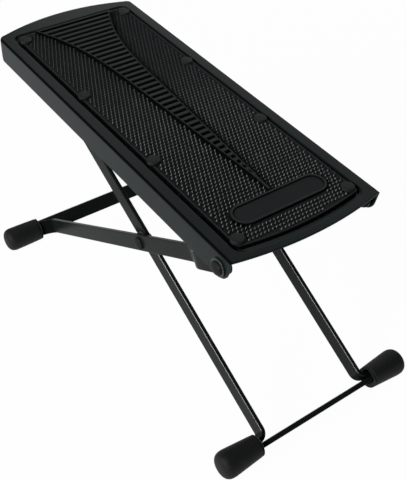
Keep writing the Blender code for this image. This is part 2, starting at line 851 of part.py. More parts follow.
def build_cap(name, side, foot_y, start, inward, parent, rubber):
    # inward is the local y direction from the foot towards the scissor pivot
    profile = [(start, 0.0), (start, cap_mouth_radius - cap_lip), (start + cap_lip, cap_mouth_radius)]
    profile.append((start + cap_cone_length, cap_radius))
    dome_steps = 6
    dome = cap_length - cap_cone_length
    for k in range(1, dome_steps):
        share = sin(pi / 2 * k / dome_steps)
        radius = cap_radius * (1 - share ** cap_dome_power) ** (1 / cap_dome_power)
        profile.append((start + cap_cone_length + dome * share, radius))
    profile.append((start + cap_length, 0.0))
    bm = bmesh.new()
    add_turned(bm, profile, round_steps, (foot_y, 0.0), side)
    for vert in bm.verts:
        # the rubber is stretched to an oval where it slides over the flat bars
        depth = (side * vert.co.x - start) / cap_cone_length
        vert.co.z *= 1 + (cap_mouth_oval - 1) * max(1 - depth, 0.0)
    cap = make_object(name, bm, rubber, parent, radians(35.0))

    socket = bmesh.new()
    half_stack = bar_thickness + touch_gap / 2 + touch_gap
    half_high = bar_width / 2 + touch_gap
    near, far = foot_y + inward * half_stack, foot_y - inward * half_stack
    quad = [(near, -half_high), (far, -half_high), (far, half_high), (near, half_high)]
    bottom = start + stub_insertion + touch_gap
    add_prism(socket, quad, side * (start - cutter_overrun), side * bottom, lambda y, z, x: (x, y, z))
    add_boolean(cap, make_object(name + "_socket", socket, None, parent), "DIFFERENCE")
    # the mouth of the socket opens towards the bend of the bar
    opening = bmesh.new()
    slope = cap_opening_ease / cap_opening_depth
    outer = start - cutter_overrun
    eased = near + inward * slope * (cap_opening_depth + cutter_overrun)
    inner = start + cap_opening_depth
    wedge = [(side * outer, foot_y), (side * inner, foot_y), (side * inner, near), (side * outer, eased)]
    add_prism(opening, wedge, -half_high, half_high, lambda x, y, z: (x, y, z))
    add_boolean(cap, make_object(name + "_opening", opening, None, parent), "DIFFERENCE")
    return cap


# Rivets, washers and the locking rod

def domed(x, radius, height, steps=4):
    # outer half of a dome whose flat side lies at x, as profile points out to its edge
    points = []
    for k in range(steps):
        angle = pi / 2 * k / steps
        points.append((x + height * cos(angle), radius * sin(angle)))
    points.append((x, radius))
    return points


def build_rivet(name, side, centre_y, inner, outer, shank, head, head_height, tail_height, parent, steel):
    # head outside, shank from outer to inner face, and the formed tail inside
    bm = bmesh.new()
    profile = domed(outer + touch_gap, head, head_height)
    profile += [(outer + touch_gap, shank), (inner - touch_gap, shank)]
    tail = domed(0.0, head * shank / (shank + touch_gap), tail_height)
    profile += [(inner - touch_gap - x, radius) for x, radius in reversed(tail)]
    add_turned(bm, profile, round_steps, (centre_y, 0.0), side)
    return make_object(name, bm, steel, parent, radians(35.0))


def build_washer(name, side, centre_y, inner, outer, radius, bore, parent, material):
    bm = bmesh.new()
    profile = [(inner, 0.0), (inner, radius), (outer, radius), (outer, 0.0)]
    add_turned(bm, profile, round_steps, (centre_y, 0.0), side)
    washer = make_object(name, bm, material, parent, radians(35.0))
    ends = sorted((side * (inner - cutter_overrun), side * (outer + cutter_overrun)))
    add_boolean(washer, round_cutter(name + "_bore", *ends, bore, parent, (centre_y, 0.0)), "DIFFERENCE")
    return washer


def build_locking_rod(parent, steel):
    half = front_bar_spacing / 2 - touch_gap
    head_at = front_bar_spacing / 2 + bar_thickness + touch_gap
    right = [
        (half, rod_radius), (half, rod_spigot_radius), (head_at, rod_spigot_radius),
        (head_at, rod_head_radius), (head_at + rod_head_height, rod_spigot_radius),
    ]
    left = [(-x, radius) for x, radius in reversed(right)]
    tip = head_at + rod_head_height
    bm = bmesh.new()
    add_turned(bm, [(-tip, 0.0)] + left + right + [(tip, 0.0)], round_steps, (scissor_to_rod, 0.0))
    return make_object("locking_rod", bm, steel, parent, radians(35.0))


def build_footrest():
    clear_scene()
    steel = make_material("black_powder_coated_steel", (0.035, 0.037, 0.038), 0.42, 0.0)
    rod_steel = make_material("zinc_plated_rod", (0.33, 0.33, 0.34), 0.35, 1.0)
    rivet_steel = make_material("black_rivet_steel", (0.05, 0.052, 0.054), 0.32, 0.0)
    mat_rubber = make_material("mat_rubber", (0.022, 0.022, 0.023), 0.62, 0.0)
    foot_rubber = make_material("foot_rubber", (0.028, 0.028, 0.029), 0.7, 0.0)
    spacer_plastic = make_material("black_spacer_plastic", (0.015, 0.015, 0.015), 0.5, 0.0)

    tray_frame = make_empty("tray_hinge_axis", world_place(hinge_side), tray_tilt)
    rear_frame = make_empty("rear_frame_axis", world_place(hinge_side), tray_tilt - rear_frame_angle)
    front_frame = make_empty("scissor_axis", world_place(scissor_side), tray_tilt + front_frame_angle)

    build_tray(tray_frame, steel)
    build_mat(tray_frame, mat_rubber)
    for k, (x, v) in enumerate(stud_places()):
        row = k % studs_per_side + 1
        build_stud(f"mat_stud_{'left' if x < 0 else 'right'}_{row}", x, v, tray_frame, mat_rubber)
    build_crossbar("rear_crossbar", hinge_to_scissor + scissor_to_rear_foot, 1, rear_cap_start, rear_frame, steel)
    build_crossbar("front_crossbar", -scissor_to_front_foot, -1, front_cap_start, front_frame, steel)
    build_locking_rod(front_frame, rod_steel)

    front_outer = front_bar_spacing / 2 + bar_thickness
    rear_outer = rear_bar_inner + bar_thickness
    washer_outer = half_width + touch_gap + hinge_washer_thickness
    rear_foot_y = hinge_to_scissor + scissor_to_rear_foot
    for word, side in (("left", -1), ("right", 1)):
        build_rack(f"notch_rack_{word}", side, tray_frame, steel)
        build_rear_bar(f"rear_bar_{word}", side, rear_frame, steel)
        build_front_bar(f"front_bar_{word}", side, front_frame, steel)
        build_cap(f"rear_foot_cap_{word}", side, rear_foot_y, rear_cap_start, -1, rear_frame, foot_rubber)
        build_cap(f"front_foot_cap_{word}", side, -scissor_to_front_foot, front_cap_start, 1, front_frame, foot_rubber)
        build_rivet(f"scissor_rivet_{word}", side, hinge_to_scissor, front_outer - bar_thickness, rear_outer,
                    scissor_shank_radius, scissor_head_radius, scissor_head_height, scissor_tail_height,
                    rear_frame, rivet_steel)
        build_washer(f"scissor_spacer_{word}", side, hinge_to_scissor, front_outer + touch_gap,
                     rear_bar_inner - touch_gap, spacer_radius, scissor_shank_radius + touch_gap,
                     rear_frame, spacer_plastic)
        build_rivet(f"hinge_rivet_{word}", side, 0.0, tab_inner, washer_outer,
                    hinge_shank_radius, hinge_head_radius, hinge_head_height, hinge_tail_height,
                    tray_frame, rivet_steel)
        build_washer(f"hinge_washer_{word}", side, 0.0, half_width + touch_gap, washer_outer,
                     hinge_washer_radius, hinge_shank_radius + touch_gap, tray_frame, rivet_steel)


build_footrest()
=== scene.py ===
# Looks of the folding guitar footrest: powder coated tray and bars, knurled rubber mat, rubber feet.
# Lengths in the settings of the pieces are millimetres, and turnedInto makes them metres. Those of the looks
# and of the studio are metres.

import json
import math

import bmesh
import bpy
import numpy as np
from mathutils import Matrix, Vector


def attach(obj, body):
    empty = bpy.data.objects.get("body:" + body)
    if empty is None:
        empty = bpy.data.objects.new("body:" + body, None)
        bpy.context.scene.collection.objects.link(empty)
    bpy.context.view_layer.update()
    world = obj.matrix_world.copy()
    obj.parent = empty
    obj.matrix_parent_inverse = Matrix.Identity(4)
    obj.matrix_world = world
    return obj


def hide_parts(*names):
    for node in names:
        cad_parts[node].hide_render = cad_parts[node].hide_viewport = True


mm = 0.001
seam = 2e-7                                    # metres: points nearer than this become one
quarterTurn = np.radians([0, 30, 60, 90])      # the steps of a small rounding

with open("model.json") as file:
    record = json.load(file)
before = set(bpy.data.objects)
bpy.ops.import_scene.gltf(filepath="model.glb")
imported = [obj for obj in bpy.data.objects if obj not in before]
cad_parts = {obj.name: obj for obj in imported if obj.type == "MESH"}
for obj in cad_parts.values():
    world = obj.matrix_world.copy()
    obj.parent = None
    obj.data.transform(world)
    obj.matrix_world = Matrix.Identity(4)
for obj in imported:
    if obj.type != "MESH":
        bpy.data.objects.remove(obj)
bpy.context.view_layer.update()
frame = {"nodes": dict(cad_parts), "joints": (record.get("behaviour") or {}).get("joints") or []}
nodes = frame["nodes"]
pivots = {joint["name"]: np.array(joint["pos_m"]) for joint in frame["joints"]}
sides = {"left": -1, "right": 1}

stance = {
    "trayTilt": math.radians(4.9158187),     # the raised rear end
    "rearFrameTurn": math.radians(-32.6),    # rear frame against the tray
    "frontFrameTurn": math.radians(26.3),    # front frame against the tray
    "hingeInset": 9.9,                       # hinge behind the tray's front corners
    "hingeDrop": 10.6,                       # hinge below the tray's top
}


# Moving points from a flat frame of their own into the object's frame

def turnedInto(points, pivot, angle):
    # y and z turn about X by the angle, then the pivot is added
    out = np.array(points, float) * mm
    y = out[:, 1] * math.cos(angle) - out[:, 2] * math.sin(angle)
    z = out[:, 1] * math.sin(angle) + out[:, 2] * math.cos(angle)
    return np.stack([out[:, 0], y, z], 1) + pivot


def onTray(points):
    # x across, v from the front corners to the rear, n up from the sheet
    shifted = np.array(points, float) - [0.0, stance["hingeInset"], -stance["hingeDrop"]]
    return turnedInto(shifted, pivots["tray_hinge"], stance["trayTilt"])


def onHinge(points):
    # x across, y and z round the line of the tray hinge
    return turnedInto(points, pivots["tray_hinge"], stance["trayTilt"])


def onRearFrame(points):
    # y runs from the tray hinge down to the rear feet
    return turnedInto(points, pivots["tray_hinge"], stance["trayTilt"] + stance["rearFrameTurn"])


def onFrontFrame(points):
    # y runs from the scissor pivot up to the locking rod
    return turnedInto(points, pivots["scissor"], stance["trayTilt"] + stance["frontFrameTurn"])


# Grids and pieces

def gridCells(rows, cols):
    # the four corner numbers of every cell of a grid of points, whose columns close into a ring
    r, c = np.meshgrid(np.arange(rows - 1), np.arange(cols), indexing="ij")
    nextC = (c + 1) % cols
    corners = [r * cols + c, r * cols + nextC, (r + 1) * cols + nextC, (r + 1) * cols + c]
    return np.stack(corners, -1).reshape(-1, 4)


def shellOf(grid):
    # a grid of shape rows, columns, 3 becomes points and cells
    return grid.reshape(-1, 3), gridCells(*grid.shape[:2])


def closedRows(rows):
    # rings in a stack, with one more at each end that is pressed into the ring's middle and closes it
    first, last = (np.broadcast_to(row.mean(0), row.shape)[None] for row in (rows[0], rows[-1]))
    return np.concatenate([first, rows, last])


def makePiece(name, shells, place, finish, body, stands, sharpAngle=38.0, marks=None):
    # joins the shells, puts them in place, merges seams and poles and turns the faces outwards;
    # marks are named numbers for each point, kept in the mesh for the finish
    offsets = np.cumsum([0] + [len(points) for points, _ in shells[:-1]])
    points = place(np.concatenate([points for points, _ in shells]))
    faces = np.concatenate([cells + offset for (_, cells), offset in zip(shells, offsets)])
    mesh = bpy.data.meshes.new(name)
    mesh.vertices.add(len(points))
    mesh.loops.add(faces.size)
    mesh.polygons.add(len(faces))
    mesh.vertices.foreach_set("co", points.astype(np.float32).ravel())
    mesh.loops.foreach_set("vertex_index", faces.astype(np.int32).ravel())
    mesh.polygons.foreach_set("loop_start", np.arange(0, faces.size, faces.shape[1], dtype=np.int32))
    mesh.update(calc_edges=True)
    for mark, values in (marks or {}).items():
        stored = mesh.attributes.new(mark, "FLOAT", "POINT")
        stored.data.foreach_set("value", np.asarray(values, np.float32))
    work = bmesh.new()
    work.from_mesh(mesh)
    bmesh.ops.remove_doubles(work, verts=work.verts, dist=seam)
    bmesh.ops.dissolve_degenerate(work, edges=work.edges, dist=1e-8)
    bmesh.ops.recalc_face_normals(work, faces=work.faces)
    work.to_mesh(mesh)
    work.free()
    mesh.shade_smooth()
    mesh.set_sharp_from_angle(angle=math.radians(sharpAngle))
    mesh.materials.append(finish)
    piece = bpy.data.objects.new(name, mesh)
    bpy.context.scene.collection.objects.link(piece)
    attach(piece, body)
    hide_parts(*stands)
    print(f"{name}: {len(mesh.polygons)} faces")


def bowHeight(x, rise, halfChord):
    # height of a circular arc over its chord: the root of radius squared less x squared, less its value at
    # the ends
    radius = (rise ** 2 + halfChord ** 2) / (2 * rise)
    within = np.minimum(np.abs(x), halfChord)
    return np.sqrt(np.maximum(radius ** 2 - within ** 2, 0.0)) - (radius - rise)


def sideways(path):
    # the direction square to a plan path at each of its points, one long
    ahead = np.gradient(path, axis=0)
    ahead /= np.maximum(np.linalg.norm(ahead, axis=1), 1e-9)[:, None]
    return np.column_stack([ahead[:, 1], -ahead[:, 0]])


def smooth(t):
    # eases from 0 to 1: t squared times 3 less 2 t
    t = np.clip(t, 0.0, 1.0)
    return t * t * (3 - 2 * t)


# Shader expressions

class Wire:
    # a socket that Python's operators turn into Math nodes
    def __init__(self, shade, socket):
        self.shade, self.socket = shade, socket

    def math(self, operation, first, second, clamp=False):
        settings = {"operation": operation, "use_clamp": clamp}
        return self.shade.make("ShaderNodeMath", settings, {0: first, 1: second})

    def __add__(self, other):
        return self.math("ADD", self, other)

    def __mul__(self, other):
        return self.math("MULTIPLY", self, other)

    def __sub__(self, other):
        return self.math("SUBTRACT", self, other)

    def __rsub__(self, other):
        return self.math("SUBTRACT", other, self)

    __radd__, __rmul__ = __add__, __mul__

    def orElse(self, other):
        # 1 where either is 1
        return self.math("ADD", self, other, clamp=True)

    def about(self, amount):
        # a noise, whose middle is a half, as a swing about nought
        return (self - 0.5) * amount

    def ramp(self, low, high):
        # 0 below low, 1 above high, eased between them
        return self.shade.make("ShaderNodeMapRange", {"interpolation_type": "SMOOTHSTEP"},
                               {"Value": self, "From Min": low, "From Max": high})


class Shade:
    def __init__(self, name, world=False):
        self.owner = (bpy.data.worlds if world else bpy.data.materials).new(name)
        self.owner.use_nodes = True
        self.tree = self.owner.node_tree
        self.shader = self.found("BACKGROUND" if world else "BSDF_PRINCIPLED")
        self.coords = self.make("ShaderNodeTexCoord", {}, {}, "Generated" if world else "Object")

    def found(self, kind):
        return next(node for node in self.tree.nodes if node.type == kind)

    def make(self, kind, settings, values, output=0):
        node = self.tree.nodes.new(kind)
        for key, value in settings.items():
            setattr(node, key, value)
        for key, value in values.items():
            self.plug(node.inputs[key], value)
        return Wire(self, node.outputs[output])

    def plug(self, socket, value):
        if isinstance(value, Wire):
            self.tree.links.new(value.socket, socket)
        elif socket.type == "RGBA":
            socket.default_value = (*value, 1.0)
        else:
            socket.default_value = value

    def noise(self, scale, detail, roughness, stretch=None):
        where = self.coords
        if stretch:
            where = self.make("ShaderNodeMapping", {}, {"Vector": where, "Scale": stretch})
        values = {"Vector": where, "Scale": scale, "Detail": detail, "Roughness": roughness}
        return self.make("ShaderNodeTexNoise", {}, values, "Fac")

    def blend(self, mask, first, second):
        # colours mixed by a mask: first where it is 0, second where it is 1; the colours of a Mix node are
        # its inputs 6 and 7 and its output 2
        return self.make("ShaderNodeMix", {"data_type": "RGBA"}, {0: mask, 6: first, 7: second}, 2)

    def clouded(self, cloud, first, second):
        # two colours that change places softly with a noise
        return self.blend(cloud.ramp(0.3, 0.7), first, second)

    def stored(self, name):
        # a number kept with each point of the mesh, 0 where the mesh has none
        return self.make("ShaderNodeAttribute", {"attribute_name": name}, {}, "Fac")

    def along(self, axis):
        # the point's own X, Y or Z
        return self.make("ShaderNodeSeparateXYZ", {}, {0: self.coords}, axis)

    def bump(self, height, distance, strength, under=None):
        values = {"Height": height, "Distance": distance, "Strength": strength}
        if under is not None:
            values["Normal"] = under
        return self.make("ShaderNodeBump", {}, values, "Normal")

    def heightOverTray(self):
        # millimetres above the tray's sheet: the position along the tray's upward normal
        up = np.array([0.0, -math.sin(stance["trayTilt"]), math.cos(stance["trayTilt"])])
        level = float(onTray([[0.0, 0.0, 0.0]])[0] @ up)
        return (self.along("Y") * float(up[1]) + self.along("Z") * float(up[2]) - level) * 1000.0

    def finish(self, **values):
        for key, value in values.items():
            self.plug(self.shader.inputs[key.replace("_", " ")], value)
        return self.owner


# Finishes

# In the looks a noise is its scale, detail and roughness, a bump is its distance and strength, and what ends
# in Rough is how much a mask or noise adds to the roughness. Levels are where a mask starts and where it is
# full: of its noise or mark, or millimetres over the tray.

coatLook = {
    "color": (0.0082, 0.0130, 0.0130),
    "deep": (0.0062, 0.0100, 0.0100),
    "cloud": (22.0, 4.0, 0.6),
    "cloudRough": 0.10,
    "cloudBump": (0.0006, 0.10),
    "peel": (1500.0, 3.0, 0.6),
    "peelRough": 0.08,
    "peelBump": (0.00008, 0.20),
    "speck": (0.10, 0.10, 0.095),
    "speckNoise": (700.0, 2.0, 0.5),
    "speckLevels": (0.66, 0.74),
    "speckShare": 0.06,
    # painted shade: near black along the tray's folds and on the bars' bends into the foot caps
    "paintedShade": (0.0040, 0.0048, 0.0048),      # along the folds, and on the bends into the foot caps
    "paintedShadeRough": 0.55,
    "paintedShadeMetal": 0.8,
    # painted light: a pale tone on the floor of the gap round the mat, less of it in front
    "dustAndPaintedLight": (0.105, 0.108, 0.104),         # in the gap round the mat
    "dustAndPaintedLightRough": 0.3,
    # partly bare steel rubbed through, partly a painted highlight on the bars' rounded edges
    "rubbedAndHighlight": (0.62, 0.62, 0.60),          # bare steel along the edges of the bars
    "rubbedAndHighlightNoise": (60.0, 2.0, 0.5),
    "rubbedAndHighlightLevels": (0.25, 0.75),
    "rubbedAndHighlightShare": 0.20,
    "rubbedAndHighlightSpread": 0.06,
    "rubbedAndHighlightRough": 0.35,
    "roughness": 0.30,
    "specular": 0.060,
}
barLook = {
    **coatLook,
    "color": (0.0093, 0.0111, 0.0114),
    "deep": (0.0072, 0.0086, 0.0088),
    "rubbedAndHighlightShare": 0.28,
    "specular": 0.036,
}


def powderCoat(name, look):
    # satin black powder coat: fine orange peel, soft cloudy tone, dusty specks, edges rubbed down to steel
    # with a painted highlight, painted shade on the folds and bends, and pale painted light in the gap round
    # the mat
    s = Shade(name)
    cloud, peel = s.noise(*look["cloud"]), s.noise(*look["peel"])
    speck = s.noise(*look["speckNoise"]).ramp(*look["speckLevels"])
    rubbedAndHighlight = look["rubbedAndHighlightShare"] + s.noise(*look["rubbedAndHighlightNoise"]).about(look["rubbedAndHighlightSpread"])
    rubbedAndHighlight = s.stored("edgeWearAndHighlight").ramp(*look["rubbedAndHighlightLevels"]) * rubbedAndHighlight
    paintedShade, paintedGapTone = s.stored("paintedShade"), s.stored("recessPaintedLight")
    tone = s.clouded(cloud, look["deep"], look["color"])
    tone = s.blend(speck * look["speckShare"], tone, look["speck"])
    # painted highlight on the rubbed edges, painted shade on the folds and bends, painted light on the
    # recess floor
    tone = s.blend(rubbedAndHighlight, tone, look["rubbedAndHighlight"])
    tone = s.blend(paintedShade, tone, look["paintedShade"])
    tone = s.blend(paintedGapTone, tone, look["dustAndPaintedLight"])
    rough = look["roughness"] + cloud.about(look["cloudRough"]) + peel.about(look["peelRough"])
    rough = rough + paintedShade * look["paintedShadeRough"] + paintedGapTone * look["dustAndPaintedLightRough"] + rubbedAndHighlight * look["rubbedAndHighlightRough"]
    return s.finish(Base_Color=tone, Roughness=rough, Metallic=rubbedAndHighlight + paintedShade * look["paintedShadeMetal"],
                    Specular_IOR_Level=look["specular"],
                    Normal=s.bump(peel, *look["peelBump"], s.bump(cloud, *look["cloudBump"])))


matLook = {
    "color": (0.0080, 0.0100, 0.0108),
    "deep": (0.0064, 0.0080, 0.00864),
    "cloud": (30.0, 5.0, 0.6),
    "cloudRough": 0.10,
    "grain": (2600.0, 2.0, 0.6),
    "grainRough": 0.08,
    "grainBump": (0.00008, 0.35),
    "paintedGapTone": (0.0030, 0.0036, 0.0040),       # painted shade, low between the studs and on steep walls
    "paintedGapLevels": (0.2, 0.8),               # over the tray, as are the low and the tip levels
    "paintedGapShare": 0.6,
    "dustAndPaintedLight": (0.026, 0.028, 0.026),
    "dustNoise": (240.0, 4.0, 0.7),
    "dustLevels": (0.52, 0.75),
    "dustShare": 0.16,
    "lowLevels": (0.3, 1.1),
    "lowRough": 0.40,
    "paintedWallShadeRough": 0.4,
    "paintedWallShadeMetal": 0.9,
    "roughness": 0.42,
    "plateRoughness": 0.80,                # inside the obround
    "tipRoughness": 0.42,                  # on the small studs
    "tipLevels": (0.4, 1.0),
    "tipCoat": 1.0,                        # how much of the polished skin the small studs carry
    "tipFade": (-0.10, 0.11),              # it fades between these places along Y, by the next share
    "tipFadeShare": 0.95,
    "specular": 0.26,
}


def mouldedRubber(name, look):
    # moulded rubber: painted shade low between the studs, which are also dusty, black painted shade on steep
    # walls, polished on the small studs
    s = Shade(name)
    height = s.heightOverTray()
    low = 1.0 - height.ramp(*look["lowLevels"])
    grain, cloud = s.noise(*look["grain"]), s.noise(*look["cloud"])
    dustAndPaintedLight = s.noise(*look["dustNoise"]).ramp(*look["dustLevels"])
    tip, plate, wall = s.stored("onTip"), s.stored("onPlate"), s.stored("paintedWallShade")
    tone = s.clouded(cloud, look["color"], look["deep"])
    # painted shade: darker low between the studs, and black on the steep walls
    tone = s.blend((1.0 - height.ramp(*look["paintedGapLevels"])) * look["paintedGapShare"], tone, look["paintedGapTone"])
    tone = s.blend(dustAndPaintedLight * low * look["dustShare"], tone, look["dustAndPaintedLight"])
    tone = s.blend(wall, tone, look["paintedGapTone"])
    rough = look["roughness"] + tip * (look["tipRoughness"] - look["roughness"])
    rough = rough + plate * (look["plateRoughness"] - look["roughness"])
    rough = rough + wall * look["paintedWallShadeRough"] + low * look["lowRough"]
    rough = rough + cloud.about(look["cloudRough"]) + grain.about(look["grainRough"])
    polished = look["tipCoat"] - s.along("Y").ramp(*look["tipFade"]) * look["tipFadeShare"]
    return s.finish(Base_Color=tone, Roughness=rough, Metallic=wall * look["paintedWallShadeMetal"],
                    Specular_IOR_Level=look["specular"],
                    Coat_Weight=tip * height.ramp(*look["tipLevels"]) * polished,
                    Coat_Roughness=look["tipRoughness"],
                    Normal=s.bump(grain, *look["grainBump"]))


capLook = {
    "color": (0.0100, 0.0105, 0.0110),
    "deep": (0.0082, 0.00861, 0.00902),
    "cloud": (60.0, 4.0, 0.6),
    "cloudRough": 0.14,
    "cloudBump": (0.0004, 0.10),
    "grain": (1900.0, 3.0, 0.6),
    "grainBump": (0.0001, 0.4),
    "scuff": (0.045, 0.044, 0.042),
    "scuffNoise": (420.0, 4.0, 0.7),
    "scuffLevels": (0.42, 0.70),
    "scuffHeights": (0.0005, 0.0060),      # over the floor: full below the first, gone above the second
    "scuffShare": 0.5,
    "scuffRough": 0.2,
    "roughness": 0.64,
    "specular": 0.165,
}


def footRubber(name, look):
    # soft matte rubber: a fine skin, broad cloudiness, and dusty scuffs low down where it meets the floor
    s = Shade(name)
    grain, cloud = s.noise(*look["grain"]), s.noise(*look["cloud"])
    scuff = 1.0 - s.along("Z").ramp(*look["scuffHeights"])
    scuff = scuff * s.noise(*look["scuffNoise"]).ramp(*look["scuffLevels"])
    tone = s.clouded(cloud, look["color"], look["deep"])
    tone = s.blend(scuff * look["scuffShare"], tone, look["scuff"])
    rough = look["roughness"] + cloud.about(look["cloudRough"]) + scuff * look["scuffRough"]
    return s.finish(Base_Color=tone, Roughness=rough, Specular_IOR_Level=look["specular"],
                    Normal=s.bump(grain, *look["grainBump"], s.bump(cloud, *look["cloudBump"])))


studLook = {
    "color": (0.0100, 0.0125, 0.0108),
    "deep": (0.0080, 0.0100, 0.00864),
    "cloud": (150.0, 4.0, 0.6),
    "cloudRough": 0.16,
    "grain": (2200.0, 3.0, 0.6),
    "grainBump": (0.0001, 0.35),
    "dustAndPaintedLight": (0.040, 0.046, 0.040),
    "dustNoise": (700.0, 4.0, 0.7),
    "dustLevels": (0.55, 0.75),
    "dustShare": 0.15,
    "dustAndPaintedLightRough": 0.12,
    "roughness": 0.62,
    "specular": 0.20,
}


def studRubber(name, look):
    # duller rubber of the eight big studs: fine skin and pale dust that gathers in patches
    s = Shade(name)
    grain, cloud = s.noise(*look["grain"]), s.noise(*look["cloud"])
    dustAndPaintedLight = s.noise(*look["dustNoise"]).ramp(*look["dustLevels"])
    tone = s.clouded(cloud, look["color"], look["deep"])
    tone = s.blend(dustAndPaintedLight * look["dustShare"], tone, look["dustAndPaintedLight"])
    rough = look["roughness"] + cloud.about(look["cloudRough"]) + dustAndPaintedLight * look["dustAndPaintedLightRough"]
    return s.finish(Base_Color=tone, Roughness=rough, Specular_IOR_Level=look["specular"],
                    Normal=s.bump(grain, *look["grainBump"]))


rivetLook = {
    "color": (0.010, 0.011, 0.011),
    "grain": (1200.0, 3.0, 0.6),
    "grainRough": 0.16,
    "grainBump": (0.00008, 0.25),
    "bare": (0.20, 0.20, 0.19),
    "rubbedAndHighlightNoise": (320.0, 4.0, 0.65),
    "rubbedAndHighlightLevels": (0.56, 0.72),
    "rubbedAndHighlightShare": 0.12,
    "rubbedMetal": 0.15,
    "roughness": 0.60,
    "specular": 0.08,
    "metallic": 0.0,
}
washerLook = {**rivetLook, "color": (0.04, 0.04, 0.04), "roughness": 0.36, "metallic": 0.14}


def rivetSteel(name, look):
    # blackened steel, rubbed brighter in small patches
    s = Shade(name)
    grain = s.noise(*look["grain"])
    rubbedAndHighlight = s.noise(*look["rubbedAndHighlightNoise"]).ramp(*look["rubbedAndHighlightLevels"])
    tone = s.blend(rubbedAndHighlight * look["rubbedAndHighlightShare"], look["color"], look["bare"])
    return s.finish(Base_Color=tone, Roughness=look["roughness"] + grain.about(look["grainRough"]),
                    Metallic=rubbedAndHighlight * look["rubbedMetal"] + look["metallic"],
                    Specular_IOR_Level=look["specular"], Normal=s.bump(grain, *look["grainBump"]))


zincLook = {
    "color": (0.40, 0.40, 0.41),
    "deep": (0.30, 0.31, 0.33),
    "cloud": (90.0, 4.0, 0.6),
    "cloudLevels": (0.35, 0.65),
    "cloudRough": 0.2,
    "lines": (900.0, 2.0, 0.5),
    "lineStretch": (3.0, 0.2, 0.2),
    "lineBump": (0.0001, 0.3),
    "roughness": 0.30,
}


def zincRod(name, look):
    # zinc plated rod with turning lines round it
    s = Shade(name)
    lines, cloud = s.noise(*look["lines"], stretch=look["lineStretch"]), s.noise(*look["cloud"])
    tone = s.blend(cloud.ramp(*look["cloudLevels"]), look["color"], look["deep"])
    rough = look["roughness"] + cloud.about(look["cloudRough"])
    return s.finish(Base_Color=tone, Metallic=1.0, Roughness=rough, Normal=s.bump(lines, *look["lineBump"]))


spacerLook = {
    "color": (0.014, 0.014, 0.015),
    "pale": (0.020, 0.020, 0.021),
    "grain": (1400.0, 3.0, 0.6),
    "grainRough": 0.2,
    "grainBump": (0.0001, 0.3),
    "roughness": 0.5,
}


def spacerPlastic(name, look):
    # dull black nylon
    s = Shade(name)
    grain = s.noise(*look["grain"])
    return s.finish(Base_Color=s.clouded(grain, look["color"], look["pale"]),
                    Roughness=look["roughness"] + grain.about(look["grainRough"]),
                    Normal=s.bump(grain, *look["grainBump"]))


blackCoat = powderCoat("blackPowderCoat", coatLook)
barCoat = powderCoat("barPowderCoat", barLook)
matRubber = mouldedRubber("mouldedMatRubber", matLook)
bigStudRubber = studRubber("bigStudRubber", studLook)
capRubber = footRubber("footCapRubber", capLook)
rivetBlack = rivetSteel("blackenedRivet", rivetLook)
washerSteel = rivetSteel("rubbedWasher", washerLook)
rodZinc = zincRod("zincPlatedRod", zincLook)
spacerNylon = spacerPlastic("spacerNylon", spacerLook)
print("finishes made")


# Tray

tray = {
    "halfWidth": 55.7,
    "length": 277.2,
    "sheet": 1.2,
    "fold": 1.4,
    "flange": 17.5,
    "frontBow": 6.3,
    "rearBow": 11.1,
    "rearCorner": 5.0,
    "flangeRearSetback": 4.5,
    "flangeRearCorner": 4.0,
    "flangeFrontCorner": 7.0,
    "flangeFrontSlant": math.radians(10.0),
    "edge": 0.25,                            # rounding of the sheet's cut edges
    "recessHalf": 46.75,
    "recessFront": 0.25,
    "recessFrontBow": 4.4,
    "recessRear": 273.2,
    "recessCorner": 5.0,
    "recessDepth": 2.5,
    "recessLip": 1.6,
    "recessWall": 0.4,
    "columnBreaks": (49.2, 46.2, 42.6),      # x at which the spacing of the columns changes
    "wallColumns": (49.0, 46.3, -0.15),      # columns across the recess wall: from, to, step
    "rowBreaks": (6.7, 3.5),                 # middles of the close rows, in from the front and rear ends
    "closeRows": 1.5,                        # half length of the close rows
    "nearRows": 7.5,                         # where the less close rows beside them end
    "rowCounts": (7, 20, 18, 39, 18, 20, 11),
    "paintedLightDepth": 0.9,                        # the painted light in the gap starts at this depth, and is full at twice it
    "paintedLightFrontCut": 0.72,                      # share of the painted light that is missing in front
    "paintedLightFrontEnd": 20.0,
}


def flangeCut(n, corner):
    # how far a flange's end draws back where its lower corner rounds off, as a quarter circle
    below = np.clip(-(tray["flange"] - corner) - n, 0.0, corner)
    return corner - np.sqrt(np.maximum(corner ** 2 - below ** 2, 0.0))


def trayFront(x, n):
    # where the sheet starts: an arc in front, that slants back down the flange and rounds off at its corner
    slant = np.maximum(-n, 0.0) * math.tan(tray["flangeFrontSlant"])
    bow = bowHeight(x, tray["frontBow"], tray["halfWidth"])
    return slant + flangeCut(n, tray["flangeFrontCorner"]) - bow


def trayRear(x, n):
    # where the sheet ends: an arc that falls back to the flange's end as a quarter ellipse at each corner
    corner = tray["rearCorner"]
    straight = tray["halfWidth"] - corner
    over = np.clip(np.abs(x) - straight, 0.0, corner) / corner
    low = tray["length"] - tray["flangeRearSetback"] - flangeCut(n, tray["flangeRearCorner"])
    high = tray["length"] + bowHeight(np.minimum(np.abs(x), straight), tray["rearBow"], tray["halfWidth"])
    return low + (high - low) * np.sqrt(np.maximum(1 - over ** 2, 0.0))


